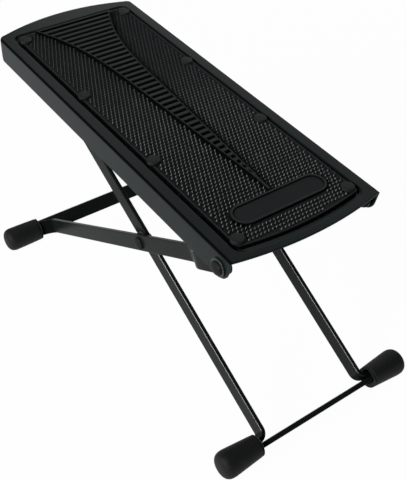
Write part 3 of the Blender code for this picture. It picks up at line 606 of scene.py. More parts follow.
def recessDrop(x, v):
    # how far the sheet is pressed down: a round lip outside the outline of a rounded panel, then a steep
    # eased wall
    corner = tray["recessCorner"]
    bow = bowHeight(x, tray["recessFrontBow"], tray["recessHalf"])
    front = tray["recessFront"] + tray["recessFrontBow"] - bow
    across = np.abs(x) - tray["recessHalf"] + corner
    lengthwise = np.maximum(front - v, v - tray["recessRear"]) + corner
    outside = np.hypot(np.maximum(across, 0), np.maximum(lengthwise, 0))
    beyond = outside + np.minimum(np.maximum(across, lengthwise), 0) - corner
    lip = tray["recessLip"]
    over = np.clip(lip - beyond, 0.0, lip)
    wall = smooth(-beyond / tray["recessWall"])
    return lip - np.sqrt(lip ** 2 - over ** 2) + (tray["recessDepth"] - lip) * wall


def cutEdge():
    # a cut edge of the sheet, rounded above and below: how far in from it, and half the thickness there
    half, edge = tray["sheet"] / 2, tray["edge"]
    inwards = np.concatenate([[0.0], edge * (1 - np.cos(quarterTurn))])
    thick = np.concatenate([[0.0], half - edge + edge * np.sin(quarterTurn)])
    return inwards, thick


def traySection():
    # the sheet's middle line from one flange's lower edge to the other's, with its outward normal and half
    # the thickness, which closes at the two lower edges; the columns lie close across the recess wall
    half, edge, fold, flange = tray["sheet"] / 2, tray["edge"], tray["fold"], tray["flange"]
    inwards, lowH = cutEdge()
    lowN = -flange + inwards
    ease = 1 - np.cos(np.linspace(0, 0.5, 14)[1:] * np.pi)
    sideN = -flange + edge + (flange - edge - fold) * ease
    bend = np.radians(np.linspace(0, 90, 9))[1:]
    middleRadius = fold - half
    topStart = tray["halfWidth"] - fold
    foldX = topStart + middleRadius * np.cos(bend)
    foldN = -fold + middleRadius * np.sin(bend)
    corner = tray["halfWidth"] - tray["rearCorner"]
    outer, inner, flat = tray["columnBreaks"]
    topX = np.concatenate([
        np.linspace(topStart, corner, 7)[1:],
        np.linspace(corner, outer, 6)[1:],
        np.arange(*tray["wallColumns"]),
        np.linspace(inner, flat, 12),
        np.linspace(flat, 0.0, 12)[1:],
    ])
    lowCount, topCount = len(lowN) + len(sideN), len(topX)
    x = np.concatenate([np.full(lowCount, tray["halfWidth"] - half), foldX, topX])
    n = np.concatenate([lowN, sideN, foldN, np.full(topCount, -half)])
    normalX = np.concatenate([np.ones(lowCount), np.cos(bend), np.zeros(topCount)])
    normalN = np.concatenate([np.zeros(lowCount), np.sin(bend), np.ones(topCount)])
    h = np.concatenate([lowH, np.full(len(x) - len(lowH), half)])
    mirror = slice(-2, None, -1)
    columns = ((x, -1), (n, 1), (normalX, -1), (normalN, 1), (h, 1))
    return [np.concatenate([values, sign * values[mirror]]) for values, sign in columns]


def trayGrid():
    # rows run from the front end to the rear end, each a closed ring round the sheet's section;
    # the recess pushes the sheet down, and the ends close on a flat cut with rounded edges
    x, n, normalX, normalN, h = traySection()
    front, rear = trayFront(x, n), trayRear(x, n)
    frontBreak, rearBreak = tray["rowBreaks"]
    start, end = front + frontBreak, np.minimum(tray["recessRear"], rear - rearBreak)
    half, edge, close, near = tray["sheet"] / 2, tray["edge"], tray["closeRows"], tray["nearRows"]
    inwards, thickness = cutEdge()
    stops = [front + edge, start - close, start + close, start + near,
             end - near, end - close, end + close, rear - edge]
    between = []
    for a, b, count in zip(stops, stops[1:], tray["rowCounts"]):
        between += [a + (b - a) * share for share in np.linspace(0, 1, count + 1)[1:]]
    between.pop()      # the rear cut starts there
    v = np.array([front + d for d in inwards] + between + [rear - d for d in inwards[::-1]])
    limits = np.concatenate([thickness, np.full(len(between), half), thickness[::-1]])
    thick = np.minimum(limits[:, None], h[None, :])
    onTop = (normalN > 0.999)[None, :]
    drop = np.where(onTop, recessDrop(x[None, :], v), 0.0)
    above, below = (np.stack([
        np.broadcast_to(x, v.shape) + sign * thick * normalX,
        v,
        np.broadcast_to(n, v.shape) + sign * thick * normalN - drop,
    ], -1) for sign in (1, -1))

    def onOutside(mark):
        return np.concatenate([mark, 0 * mark], 1).ravel()

    # marks: painted shade on the outside of the folds, and painted light on the floor of the recess, less of
    # it in front
    bend = (normalX ** 2 < 0.999) & (normalN ** 2 < 0.999)
    paintedShade = np.broadcast_to(bend, drop.shape).astype(float)
    paintedGapTone = smooth((drop - tray["paintedLightDepth"]) / tray["paintedLightDepth"])
    paintedGapTone = paintedGapTone * (1.0 - tray["paintedLightFrontCut"] * (v < tray["paintedLightFrontEnd"]))
    marks = {"paintedShade": onOutside(paintedShade), "recessPaintedLight": onOutside(paintedGapTone)}
    return np.concatenate([above, below[:, ::-1]], 1), marks


sheet, sheetMarks = trayGrid()
makePiece("tray_sheet", [shellOf(sheet)], onTray, blackCoat, "tray", ["deck_tray"],
          marks=sheetMarks)


# Mat

mat = {
    "half": 45.05,
    "front": 3.3,
    "frontBow": 4.4,
    "rear": 269.7,
    "corner": 2.0,
    "leastCorner": 0.35,
    "base": -2.2,
    "top": 0.7,
    "field": 0.3,          # level of the rubber between the studs
    "rim": 1.15,
    "rimEase": 0.3,        # flat part of the rim that slopes down inwards
    "rimDip": 0.1,
    "rimSlope": 0.35,
    "chamfer": 1.0,        # how far the lower edge draws in, over the next height
    "chamferHeight": 0.6,
    "rounding": 0.55,
    "spineInset": 30.0,
    "cornerSteps": 6,
    "sideSteps": 40,
    "acrossSteps": 24,
}


def matRing(inset):
    # outline of the mat drawn in by inset: bowed front edge, straight sides and rear, rounded corners
    half, corner = mat["half"] - inset, max(mat["corner"] - inset, mat["leastCorner"])
    rear = mat["rear"] - inset

    def frontLine(x):
        return mat["front"] + inset + mat["frontBow"] - bowHeight(x, mat["frontBow"], mat["half"])

    turn = np.radians(np.linspace(0, 90, mat["cornerSteps"] + 1))
    across = np.linspace(-1, 1, mat["acrossSteps"] + 1)
    along = np.linspace(0, 1, mat["sideSteps"] + 1)[1:-1]
    frontCorner = frontLine(half)
    sideX = half - corner
    lowX = across * sideX
    lowRight = np.stack([sideX + corner * np.sin(turn), frontCorner + corner * (1 - np.cos(turn))], 1)
    lowRight[:, 1] -= (frontCorner - frontLine(sideX)) * (1 - np.sin(turn))      # meets the bowed line
    rightV = frontCorner + corner + (rear - corner * 2 - frontCorner) * along
    right = np.stack([np.full(len(along), half), rightV], 1)
    highRight = np.stack([sideX + corner * np.cos(turn), rear - corner + corner * np.sin(turn)], 1)
    front = np.stack([lowX, frontLine(lowX)], 1)
    back = np.stack([-lowX, np.full(len(lowX), rear)], 1)
    mirrored = np.array([-1.0, 1.0])
    return np.concatenate([
        front[:-1], lowRight, right, highRight[:-1], back[:-1],
        highRight[::-1] * mirrored, right[::-1] * mirrored, lowRight[::-1][:-1] * mirrored,
    ])


def spine(ring):
    # a ring pressed onto the middle line, to close a face without crossing
    low, high = mat["front"] + mat["spineInset"], mat["rear"] - mat["spineInset"]
    return np.stack([np.zeros(len(ring)), np.clip(ring[:, 1], low, high)], 1)


def matBlock():
    # rings from the underside round the edge to the rim, then down to the field of studs, each with how far
    # it is drawn in, its height and whether it closes on the middle line; gives the shell and its painted
    # wall shade
    low, high, rounding = mat["base"], mat["top"], mat["rounding"]
    levels = [(mat["chamfer"], low, True), (mat["chamfer"], low, False)]
    levels += [(0.0, low + mat["chamferHeight"], False)]
    for a in quarterTurn:
        levels.append((rounding * (1 - math.cos(a)), high - rounding + rounding * math.sin(a), False))
    levels += [(mat["rim"] - mat["rimEase"], high, False), (mat["rim"], high - mat["rimDip"], False)]
    inner = mat["rim"] + mat["rimSlope"]
    levels += [(inner, mat["field"], False), (inner, mat["field"], True)]
    rows = []
    for inset, n, closed in levels:
        ring = matRing(inset)
        rows.append(np.column_stack([spine(ring) if closed else ring, np.full(len(ring), n)]))
    # painted shade: the outer walls of the block are made black
    wall = np.repeat([1.0, 1.0, 1.0, 1.0, 0.5] + [0.0] * (len(rows) - 5), len(rows[0]))
    return shellOf(np.stack(rows)), wall


fan = {
    "point": 36.0,
    "rear": 268.3,
    "tipHalf": 0.85,
    "tipLength": 10.0,
    "spread": math.tan(math.radians(3.55)),
    "flareWidth": 16.66,
    "flareLength": 104.5,
    "flarePower": 3.2,
    "foot": 0.2,           # lower edge of ribs, slats and wedge, sunk in the floor
    "rib": 0.85,
    "ribTop": 3.2,
    "ribRounding": 0.3,
    "ribRows": (60.0, 59.0),    # the ribs' rows lie closer from here to the rear edge
    "leastReach": (0.3, 0.5),   # of a rib and of a slat, from the middle line
    "tipTop": 2.4,
    "rise": 22.0,
    "wedge": 1.5,          # the solid point before the first slat
    "wedgeDrop": 0.05,
    "wedgeRounding": 0.25,
    # share of painted shade on the wedge's walls
    "wedgeWallShade": 0.4,
    "solidLength": 15.0,
    "wedgeOverlap": 1.5,
    "slatTop": 3.0,
    "slatOverlap": 0.6,    # how far a slat stays short of the outline, in ribs
    "rounding": 0.5,
    "pitch": 5.69,
    "groove": 2.6,
    # share of painted shade on the slats' walls
    "grooveWallShade": 0.5,
    "rearMargin": 3.4,
    "floor": 0.8,
    "floorInset": 0.2,
    "floorStart": 2.0,
    "floorHalf": 0.25,
    "floorSteps": 90,
    "plateShare": 0.5,     # how dull the fan is, of the panel
}


def fanHalf(v):
    # half width: a short blunt tip, a straight spread, and a flare that grows as a power towards the rear
    share = np.maximum((v - fan["rear"]) / fan["flareLength"] + 1.0, 0.0)
    straight = np.maximum((v - fan["point"] - fan["tipLength"]) * fan["spread"], 0.0)
    return fan["tipHalf"] + straight + fan["flareWidth"] * share ** fan["flarePower"]


def fanFloor():
    # the floor between the ribs, a plate over the fan's outline with softened upper edges: each row is
    # a share of the half width at a height
    steps, low, high = fan["floorSteps"], mat["base"] / 2, fan["floor"]
    v = np.linspace(fan["point"] + fan["floorStart"], fan["rear"] - fan["floorInset"], steps)
    halfX = np.maximum(fanHalf(v) - fan["floorInset"], fan["floorHalf"])
    profile = ((0.0, low), (1.0, low), (1.0, high - 0.3), (0.985, high - 0.08), (0.93, high), (0.0, high))
    rows = []
    for share, n in profile:
        right = np.column_stack([halfX * share, v, np.full(steps, n)])
        left = right[::-1] * [-1.0, 1.0, 1.0]
        rows.append(np.concatenate([right, left]))
    return shellOf(np.stack(rows))


ridges = {
    "topInset": 0.15,                          # a line inside each rounding keeps the top flat
    "wall": (1.0, 1.0, 0.3, 0.0, 0.0, 0.0),    # painted shade mark, from the foot to the top
}


def ridge(centre, width, high, rounding):
    # a rounded ridge carried along a line of (x, v) points: closed section, closed ends; its height may
    # change along the line; gives the shell and a painted shade mark that is 1 on its walls
    high = np.broadcast_to(high, len(centre))[:, None]
    half = width / 2
    inner = half - rounding - min(ridges["topInset"], (half - rounding) * 0.5)
    across = np.concatenate([[half], half - rounding * (1 - np.cos(quarterTurn)), [inner]])
    foot = np.full_like(high, fan["foot"])
    height = np.concatenate([foot, high - rounding + rounding * np.sin(quarterTurn), high], 1)
    across = np.concatenate([across, -across[::-1]])
    height = np.concatenate([height, height[:, ::-1]], 1)
    plan = centre[:, None, :] + sideways(centre)[:, None, :] * across[None, :, None]
    body = np.concatenate([plan, height[:, :, None]], -1)
    wall = np.concatenate([ridges["wall"], ridges["wall"][::-1]])
    return shellOf(closedRows(body)), np.tile(wall, len(centre) + 2)


def ribHeight(v):
    # the ribs rise from the point to their full height
    return fan["tipTop"] + (fan["ribTop"] - fan["tipTop"]) * smooth((v - fan["point"]) / fan["rise"])


def slat(middle, width):
    # a straight ridge across the fan, from rib to rib
    reach = max(fanHalf(middle) - fan["rib"] * fan["slatOverlap"], fan["leastReach"][1])
    line = np.column_stack([np.linspace(-reach, reach, 4), np.full(4, middle)])
    return ridge(line, width, fan["slatTop"], fan["rounding"])


def fanShells():
    # floor, ribs, solid point and slats, each with its painted wall shade
    floor = fanFloor()
    shells = [(floor, np.zeros(len(floor[0])))]
    wide, close = fan["ribRows"]
    v = np.concatenate([np.linspace(fan["point"], fan["rear"] - wide, 50),
                        np.linspace(fan["rear"] - close, fan["rear"], 40)])
    for side in (1, -1):
        x = side * np.maximum(fanHalf(v) - fan["rib"] / 2, fan["leastReach"][0])
        shells.append(ridge(np.column_stack([x, v]), fan["rib"], ribHeight(v), fan["ribRounding"]))
    solidEnd = fan["point"] + fan["solidLength"]
    v = np.linspace(fan["point"], solidEnd + fan["wedgeOverlap"], 12)
    wedge, wall = ridge(np.column_stack([0 * v, v]), fan["wedge"], ribHeight(v) - fan["wedgeDrop"],
                        fan["wedgeRounding"])
    shells.append((wedge, wall * fan["wedgeWallShade"]))
    firstGroove = fan["rear"] - fan["rearMargin"]
    for k in range(int((firstGroove - solidEnd) / fan["pitch"]) + 1):
        bar, wall = slat(firstGroove - (k + 0.5) * fan["pitch"], fan["pitch"] - fan["groove"])
        shells.append((bar, wall * fan["grooveWallShade"]))
    rearWidth = fan["rearMargin"] - fan["groove"] / 2
    shells.append(slat(fan["rear"] - rearWidth / 2, rearWidth))
    return shells


panel = {
    "halfLength": 34.2,
    "radius": 8.6,
    "middle": 26.6,
    "foot": 0.1,
    "top": 2.0,
    "plate": 1.2,
    "margin": 1.8,
    "turnSteps": 17,
}


def panelShell():
    # the bare obround panel: rings drawn in from its outline, with a raised margin round a sunk flat plate;
    # gives the shell and its marks, how dull it is and how much painted shade darkens its walls
    straight = panel["halfLength"] - panel["radius"]
    steps = panel["turnSteps"]
    turn = np.radians(np.linspace(90, -90, steps))
    right = np.column_stack([np.cos(turn), np.sin(turn)])
    ring = np.concatenate([right, -right])
    centres = np.repeat([straight, -straight], steps)
    foot, top, plate, margin = panel["foot"], panel["top"], panel["plate"], panel["margin"]
    profile = np.array([
        # drawn in, height, dullness, painted wall shade
        (panel["radius"], foot, 0.5, 1.0),
        (0.0, foot, 0.5, 1.0),
        (0.0, top - 0.45, 0.5, 1.0),
        (0.12, top - 0.14, 0.5, 0.4),
        (0.4, top, 0.5, 0.0),
        (margin - 0.4, top, 0.5, 0.0),
        (margin - 0.12, top - 0.12, 0.5, 0.5),
        (margin, top - 0.35, 0.5, 1.0),
        (margin + 0.05, plate + 0.15, 1.0, 1.0),
        (margin + 0.25, plate, 1.0, 0.6),
        (margin + 0.5, plate, 1.0, 0.0),
        (panel["radius"], plate, 1.0, 0.0),
    ])
    rows = []
    for inset, n in profile[:, :2]:
        radius = panel["radius"] - inset
        rows.append(np.column_stack([centres + ring[:, 0] * radius, panel["middle"] + ring[:, 1] * radius,
                                     np.full(len(ring), n)]))
    dullness, paintedWallShades = (np.repeat(profile[:, k], len(ring)) for k in (2, 3))
    return shellOf(np.stack(rows)), dullness, paintedWallShades


studs = {
    "x": 41.3,
    "front": 12.9,
    "rear": 263.1,
    "count": 4,
    "radius": 4.3,
    "top": 1.9,
    "shank": 2.0,
    "steps": 40,
    "headFoot": -0.6,
    # the barbed tail, as radius and height
    "tail": ((2.0, -4.0), (3.2, -4.1), (3.1, -4.4), (2.1, -5.3), (1.6, -5.4), (0.0, -5.4)),
}
studRows = np.linspace(studs["front"], studs["rear"], studs["count"])


def turnedShell(profile, x, v, steps):
    # a profile of (radius, height) turned about a line square to the tray
    profile = np.array(profile, float)
    turn = np.linspace(0, 2 * np.pi, steps, endpoint=False)
    grid = np.empty((len(profile), steps, 3))
    grid[..., 0] = x + profile[:, :1] * np.cos(turn)
    grid[..., 1] = v + profile[:, :1] * np.sin(turn)
    grid[..., 2] = profile[:, 1:]
    return shellOf(grid)


def studShell(x, v):
    # crowned head, shank through mat and tray, and the barbed tail below
    radius, top, foot = studs["radius"], studs["top"], studs["headFoot"]
    head = [(0.0, top), (radius * 0.5, top - 0.02), (radius - 0.6, top - 0.06), (radius - 0.2, top - 0.18),
            (radius, top - 0.45), (radius, foot), (studs["shank"], foot)]
    return turnedShell(head + list(studs["tail"]), x, v, studs["steps"])


knurl = {
    "pitch": 2.78,
    "row": 2.79,
    "radius": 1.15,
    "top": 2.1,
    "steps": 8,
    # shares of radius and height
    "profile": ((1.0, -0.10), (0.58, 0.40), (0.17, 0.89), (0.07, 0.98), (0.0, 1.0)),
    "rearDrop": 0.45,      # the studs are lower in the rear
    "dropStart": 90.0,
    "dropLength": 90.0,
    "rimGap": 0.9,         # in radii
    "fanGap": 0.35,
    "pointGap": 0.9,
    "panelGap": 0.8,
    "studGap": 0.9,
}


def knurlShell():
    # small rounded studs on a lattice whose every second row is shifted by half a pitch, clear of the rim,
    # the fan, the panel and the big studs
    rowCount = int((mat["rear"] - mat["front"]) / knurl["row"]) + 2
    colCount = int(mat["half"] * 2 / knurl["pitch"]) + 3
    r, c = np.meshgrid(np.arange(rowCount), np.arange(colCount) - colCount // 2, indexing="ij")
    x = (c + 0.5 * (r % 2)) * knurl["pitch"]
    v = mat["front"] + r * knurl["row"]
    edge = mat["rim"] + knurl["radius"] * knurl["rimGap"]
    front = mat["front"] + mat["frontBow"] - bowHeight(x, mat["frontBow"], mat["half"])
    keep = (np.abs(x) < mat["half"] - edge) & (v > front + edge) & (v < mat["rear"] - edge)
    keep &= (np.abs(x) > fanHalf(v) + knurl["fanGap"]) | (v < fan["point"] - knurl["pointGap"])
    over = np.maximum(np.abs(x) - (panel["halfLength"] - panel["radius"]), 0)
    keep &= np.hypot(over, v - panel["middle"]) > panel["radius"] + knurl["panelGap"]
    for stud in studRows:
        keep &= np.hypot(np.abs(x) - studs["x"], v - stud) > studs["radius"] + knurl["studGap"]
    x, v = x[keep][:, None, None], v[keep][:, None, None]
    drop = knurl["rearDrop"] * smooth((v - knurl["dropStart"]) / knurl["dropLength"])
    rise = knurl["top"] - mat["field"] - drop
    profile = np.array(knurl["profile"])
    rings, steps = len(profile), knurl["steps"]
    turn = np.linspace(0, 2 * np.pi, steps, endpoint=False)
    dots = np.empty((len(x), rings, steps, 3))
    dots[..., 0] = x + knurl["radius"] * profile[None, :, :1] * np.cos(turn)
    dots[..., 1] = v + knurl["radius"] * profile[None, :, :1] * np.sin(turn)
    dots[..., 2] = mat["field"] + rise * profile[None, :, 1:]
    # one more ring pressed to the centre closes each stud below
    floor = dots[:, :1].copy()
    floor[..., 0], floor[..., 1] = x, v
    dots = np.concatenate([floor, dots], 1)
    cells = gridCells(rings + 1, steps)
    offsets = np.arange(len(x)) * (rings + 1) * steps
    print(f"knurl: {len(x)} studs")
    return dots.reshape(-1, 3), (cells[None] + offsets[:, None, None]).reshape(-1, 4)


barePanel, panelDullness, panelWallShade = panelShell()
block, blockWallShade = matBlock()
fanParts = fanShells()
matShells = [block, knurlShell(), barePanel] + [shell for shell, _ in fanParts]
pointCounts = [len(points) for points, _ in matShells]
fanWallShade = np.concatenate([wall for _, wall in fanParts])
fanDullness = np.full(len(fanWallShade), fan["plateShare"])
# marks: the polished small studs, the dull plate and fan, and painted shade on the walls
matMarks = {
    "onTip": np.repeat([0.0, 1.0] + [0.0] * (len(matShells) - 2), pointCounts),
    "onPlate": np.concatenate([np.zeros(sum(pointCounts[:2])), panelDullness, fanDullness]),
    "paintedWallShade": np.concatenate([blockWallShade, np.zeros(pointCounts[1]), panelWallShade, fanWallShade]),
}
makePiece("ribbed_mat", matShells, onTray, matRubber, "tray", ["rubber_mat"],
          sharpAngle=50.0, marks=matMarks)


for word, side in sides.items():
    for number, v in enumerate(studRows, 1):
        makePiece(f"stud_{word}_{number}", [studShell(side * studs["x"], v)], onTray, bigStudRubber, "tray",
                  [f"mat_stud_{word}_{number}"])


# Flat bars

bars = {
    "width": 11.6,
    "thickness": 2.9,
    "crossThickness": 3.4,
    "edge": 0.55,
    "faceLine": 0.6,           # a line this far inside each edge, in edges, keeps the faces flat
    "frontMiddle": 41.25,
    "rearMiddle": 46.05,
    "tabMiddle": 52.6,
    "tabReach": 6.9,
    "tabLength": 26.0,
    "joggle": 19.0,
    "toScissor": 111.6,
    "toRearFoot": 280.6,
    "toFrontFoot": 151.5,
    "toRod": 128.4,
    "frontBend": 6.0,
    "rearBend": 16.0,
    "frontCapStart": 47.75,
    "rearCapStart": 56.05,
    "insertion": 17.0,
    "stubShift": 1.65,
    "bendPaintedShade": 0.8,
    "paintedShadeStart": 0.07,         # the painted shade is full this far into the bend, in radii
    "wearAndHighlightRise": 12.0,          # the front bars' edges are worn, with a painted highlight, from the pivot down, fully after this length
    "wearAndHighlightEnd": (1.0, 3.0),     # into the bend: where the wear and highlight start to fade, and over what distance
    "creaseInset": 3.0,        # painted highlights at both ends of the rear bars' joggle
    "creaseReach": 2.0,
    "creaseHighlight": 0.8,
    "crossSteps": 13,
}


def roundedBar(path, halfHeights, thickness, wearAndHighlightAlong=0.0, paintedShadeAlong=0.0):
    # a rounded rectangle carried along a plan path, its width shrinking with halfHeights at round ends;
    # gives the shell and its marks: wear with a painted highlight on the rounded edges and painted shade all
    # round, both by their share along the path
    turn = np.radians([0, 0, 22.5, 45, 67.5, 90, 90])
    edge, line = bars["edge"], bars["edge"] * bars["faceLine"]
    rows = []
    for point, out, halfZ in zip(path, sideways(path), halfHeights):
        r = min(edge, halfZ)
        a = thickness / 2 - edge + edge * np.cos(turn)
        b = halfZ - r + r * np.sin(turn)
        a[-1] -= line
        b[0] -= min(line, (halfZ - r) * 0.5)
        across = np.concatenate([a, -a[::-1], -a, a[::-1]])
        up = np.concatenate([b, b[::-1], -b, -b[::-1]])
        rows.append(np.column_stack([point + out * across[:, None], up]))
    wearAndHighlight = np.sin(2 * turn)
    wearAndHighlight = np.concatenate([wearAndHighlight, wearAndHighlight[::-1], wearAndHighlight, wearAndHighlight[::-1]])
    marks = {}
    for mark, along, around in (("edgeWearAndHighlight", wearAndHighlightAlong, wearAndHighlight), ("paintedShade", paintedShadeAlong, np.ones(len(wearAndHighlight)))):
        amount = np.concatenate([[0.0], np.broadcast_to(along, len(rows)), [0.0]])
        marks[mark] = np.outer(amount, around).ravel()
    return shellOf(closedRows(np.stack(rows))), marks


def roundEnd(x, tip, direction):
    # the bar's half round end, from its tip inwards: its path, whose steps are a radius less its cosine,
    # and its half heights, a radius times the sine
    turn = np.radians(np.linspace(4, 90, 14))
    radius = bars["width"] / 2
    path = np.column_stack([np.full(len(turn), x), tip - direction * radius * (1 - np.cos(turn))])
    return path, radius * np.sin(turn)


def footBend(x, foot, direction, radius, end):
    # a quarter circle outwards, then straight on into the cap
    turn = np.radians(np.linspace(0, 90, 19))
    stub = foot - direction * bars["stubShift"]
    arc = np.column_stack([x + radius * (1 - np.cos(turn)), stub - direction * radius * (1 - np.sin(turn))])
    run = np.column_stack([np.linspace(x + radius, end, 5)[1:], np.full(4, stub)])
    return np.concatenate([arc, run])


def paintedShadeBend(path, middle, radius):
    # painted shade: the bend and its stub are made near black, fully so a little past the bend's start
    return bars["bendPaintedShade"] * smooth((path[:, 0] - middle) / radius / bars["paintedShadeStart"])


def straight(x, start, end, steps):
    # the points inside a straight run, without its two ends
    return np.column_stack([np.full(steps, x), np.linspace(start, end, steps)])[1:-1]


def frontBarShell(side):
    # round end, straight run and bend, worn below the pivot with a painted highlight on the edges, painted
    # shade on the bend
    x, stubEnd = bars["frontMiddle"], bars["frontCapStart"] + bars["insertion"]
    end, halfZ = roundEnd(x, bars["toRod"] + bars["width"] / 2, 1)
    bend = footBend(x, -bars["toFrontFoot"], -1, bars["frontBend"], stubEnd)
    run = straight(x, end[-1, 1], bend[0, 1], steps=12)
    path = np.concatenate([end, run, bend])
    heights = np.concatenate([halfZ, np.full(len(run) + len(bend), bars["width"] / 2)])
    fadeStart, fade = bars["wearAndHighlightEnd"]
    wearAndHighlight = smooth(-path[:, 1] / bars["wearAndHighlightRise"]) * (1 - smooth((path[:, 0] - x - fadeStart) / fade))
    paintedShade = paintedShadeBend(path, x, bars["frontBend"])
    return roundedBar(path * [side, 1.0], heights, bars["thickness"], wearAndHighlight, paintedShade)


def rearBarShell(side):
    # hinge tab, a joggle that follows half a cosine wave, straight run and bend
    tab, x, toFoot = bars["tabMiddle"], bars["rearMiddle"], bars["toRearFoot"]
    end, halfZ = roundEnd(tab, -bars["tabReach"], -1)
    share = np.linspace(0, 1, 26)
    step = (1 - np.cos(np.pi * share)) / 2
    joggle = np.column_stack([tab + (x - tab) * step, bars["tabLength"] + bars["joggle"] * share])
    stubEnd = bars["rearCapStart"] + bars["insertion"]
    bend = footBend(x, toFoot, 1, bars["rearBend"], stubEnd)
    tabRun = straight(tab, end[-1, 1], joggle[0, 1], steps=5)
    run = straight(x, joggle[-1, 1], bend[0, 1], steps=14)
    path = np.concatenate([end, tabRun, joggle, run, bend])
    heights = np.concatenate([halfZ, np.full(len(path) - len(end), bars["width"] / 2)])
    # painted highlights where the joggle bends, at both its ends
    first = bars["tabLength"] + bars["creaseInset"]
    creases = [first, bars["tabLength"] + bars["joggle"] - bars["creaseInset"]]
    wearAndHighlight = sum(np.exp(-((path[:, 1] - crease) / bars["creaseReach"]) ** 2) for crease in creases)
    lower = path[:, 1] > 0.5 * toFoot      # the tab stands out as well, and gets no painted shade
    paintedShade = paintedShadeBend(path, x, bars["rearBend"]) * lower
    return roundedBar(path * [side, 1.0], heights, bars["thickness"], wearAndHighlight * bars["creaseHighlight"], paintedShade)


def crossbarShell(foot, direction, capStart):
    # a straight bar from inside one cap to inside the other, beside the legs' stubs
    half, steps = capStart + bars["insertion"], bars["crossSteps"]
    line = foot + direction * bars["stubShift"]
    path = np.column_stack([np.linspace(-half, half, steps), np.full(steps, line)])
    return roundedBar(path, np.full(steps, bars["width"] / 2), bars["crossThickness"])


def makeBar(name, bar, place, body, node):
    shell, marks = bar
    makePiece(name, [shell], place, barCoat, body, [node], marks=marks)


for word, side in sides.items():
    makeBar(f"front_leg_{word}", frontBarShell(side), onFrontFrame, "front_frame", f"front_bar_{word}")
    makeBar(f"rear_leg_{word}", rearBarShell(side), onRearFrame, "rear_frame", f"rear_bar_{word}")
makeBar("front_tie_bar", crossbarShell(-bars["toFrontFoot"], -1, bars["frontCapStart"]), onFrontFrame,
        "front_frame", "front_crossbar")
makeBar("rear_tie_bar", crossbarShell(bars["toRearFoot"], 1, bars["rearCapStart"]), onRearFrame,
        "rear_frame", "rear_crossbar")


# Foot caps

cap = {
    "mouth": 7.5,
    "oval": 1.17,
    "radius": 9.3,
    "cone": 22.0,
    "coneStart": 1.4,
    "length": 29.6,
    "power": 3.1,
    "lip": 0.6,
    "bore": (3.75, 5.6),
    "borePower": 5,
    "boreDepth": 10.0,
    "boreEase": ((1.2, 0.0), (0.4, 0.12), (0.0, 0.45)),    # depth, and how much wider the slot is there
    "shift": 1.2,
    "shiftDepth": 9.0,
    "steps": 56,
}


def capShell(foot, side, start, inward):
    # turned skin, stretched to an oval at the mouth, with a domed end and the slot the bars slide into
    turn = np.linspace(0, 2 * np.pi, cap["steps"], endpoint=False)
    c, s = np.cos(turn), np.sin(turn)
    rows = []

    def add(x, across, up):
        rows.append(np.column_stack([np.full(len(turn), side * x), foot + across, up]))

    def ring(x, radius):
        tall = 1 + (cap["oval"] - 1) * max(1 - (x - start) / cap["cone"], 0.0)
        add(x, radius * c, radius * tall * s)

    def slot(x, grow):
        # squared oval of the slot, moved towards the bend of the bar at the mouth
        shift = inward * cap["shift"] * max(1 - (x - start) / cap["shiftDepth"], 0.0)
        a, b = cap["bore"][0] + grow + abs(shift) * 0.5, cap["bore"][1] + grow
        power = cap["borePower"]
        scale = (np.abs(c / a) ** power + np.abs(s / b) ** power) ** (-1 / power)
        add(x, shift * 0.5 + scale * c, scale * s)

    deep = start + cap["boreDepth"]
    add(deep, 0 * c, 0 * s)
    slot(deep, 0.0)
    for depth, grow in cap["boreEase"]:
        slot(start + depth, grow)
    for a in quarterTurn[::-1]:
        # the mouth's outer edge, which turns in to a narrow groove
        drawn = cap["lip"] * (1 - math.sin(a))
        ring(start + drawn, cap["mouth"] - drawn)
    for x in np.linspace(start + cap["coneStart"], start + cap["cone"], 14):
        ring(x, cap["mouth"] + (cap["radius"] - cap["mouth"]) * ((x - start) / cap["cone"]))
    dome, power = cap["length"] - cap["cone"], cap["power"]
    for share in np.sin(np.radians(np.linspace(0, 90, 18))[1:]):
        # the dome's radius falls as a power of the share of its length
        ring(start + cap["cone"] + dome * share, cap["radius"] * (1 - share ** power) ** (1 / power))
    return shellOf(np.stack(rows))


def makeCap(name, shell, place, body, node):
    makePiece(name, [shell], place, capRubber, body, [node])


for word, side in sides.items():
    front = capShell(-bars["toFrontFoot"], side, bars["frontCapStart"], 1)
    rear = capShell(bars["toRearFoot"], side, bars["rearCapStart"], -1)
    makeCap(f"front_foot_{word}", front, onFrontFrame, "front_frame", f"front_foot_cap_{word}")
    makeCap(f"rear_foot_{word}", rear, onRearFrame, "rear_frame", f"rear_foot_cap_{word}")


# Rivets and washers

scissorRivet = {
    "outer": 47.85,
    "inner": 39.45,
    "shank": 2.5,
    "head": 4.7,
    "headHeight": 2.2,
    "tail": 4.2,
    "tailHeight": 1.6,
}
hingeRivet = {
    "outer": 57.1,
    "inner": 50.8,
    "shank": 2.5,
    "head": 4.6,
    "headHeight": 2.2,
    "tail": 4.1,
    "tailHeight": 1.8,
}
# the washer's section as points of x and radius
washerProfile = [
    (56.0, 2.8), (56.0, 5.8), (56.2, 6.0), (56.6, 6.0),
    (56.77, 5.85), (56.8, 5.6), (56.8, 2.8), (56.0, 2.8),
]


def sideTurned(profile, y, side, steps=48):
    # a profile of (x, radius) turned about a line across the object at y
    profile = np.array(profile, float)
    turn = np.linspace(0, 2 * np.pi, steps, endpoint=False)
    grid = np.empty((len(profile), steps, 3))
    grid[..., 0] = side * profile[:, :1]
    grid[..., 1] = y + profile[:, 1:] * np.cos(turn)
    grid[..., 2] = profile[:, 1:] * np.sin(turn)
    return shellOf(grid)


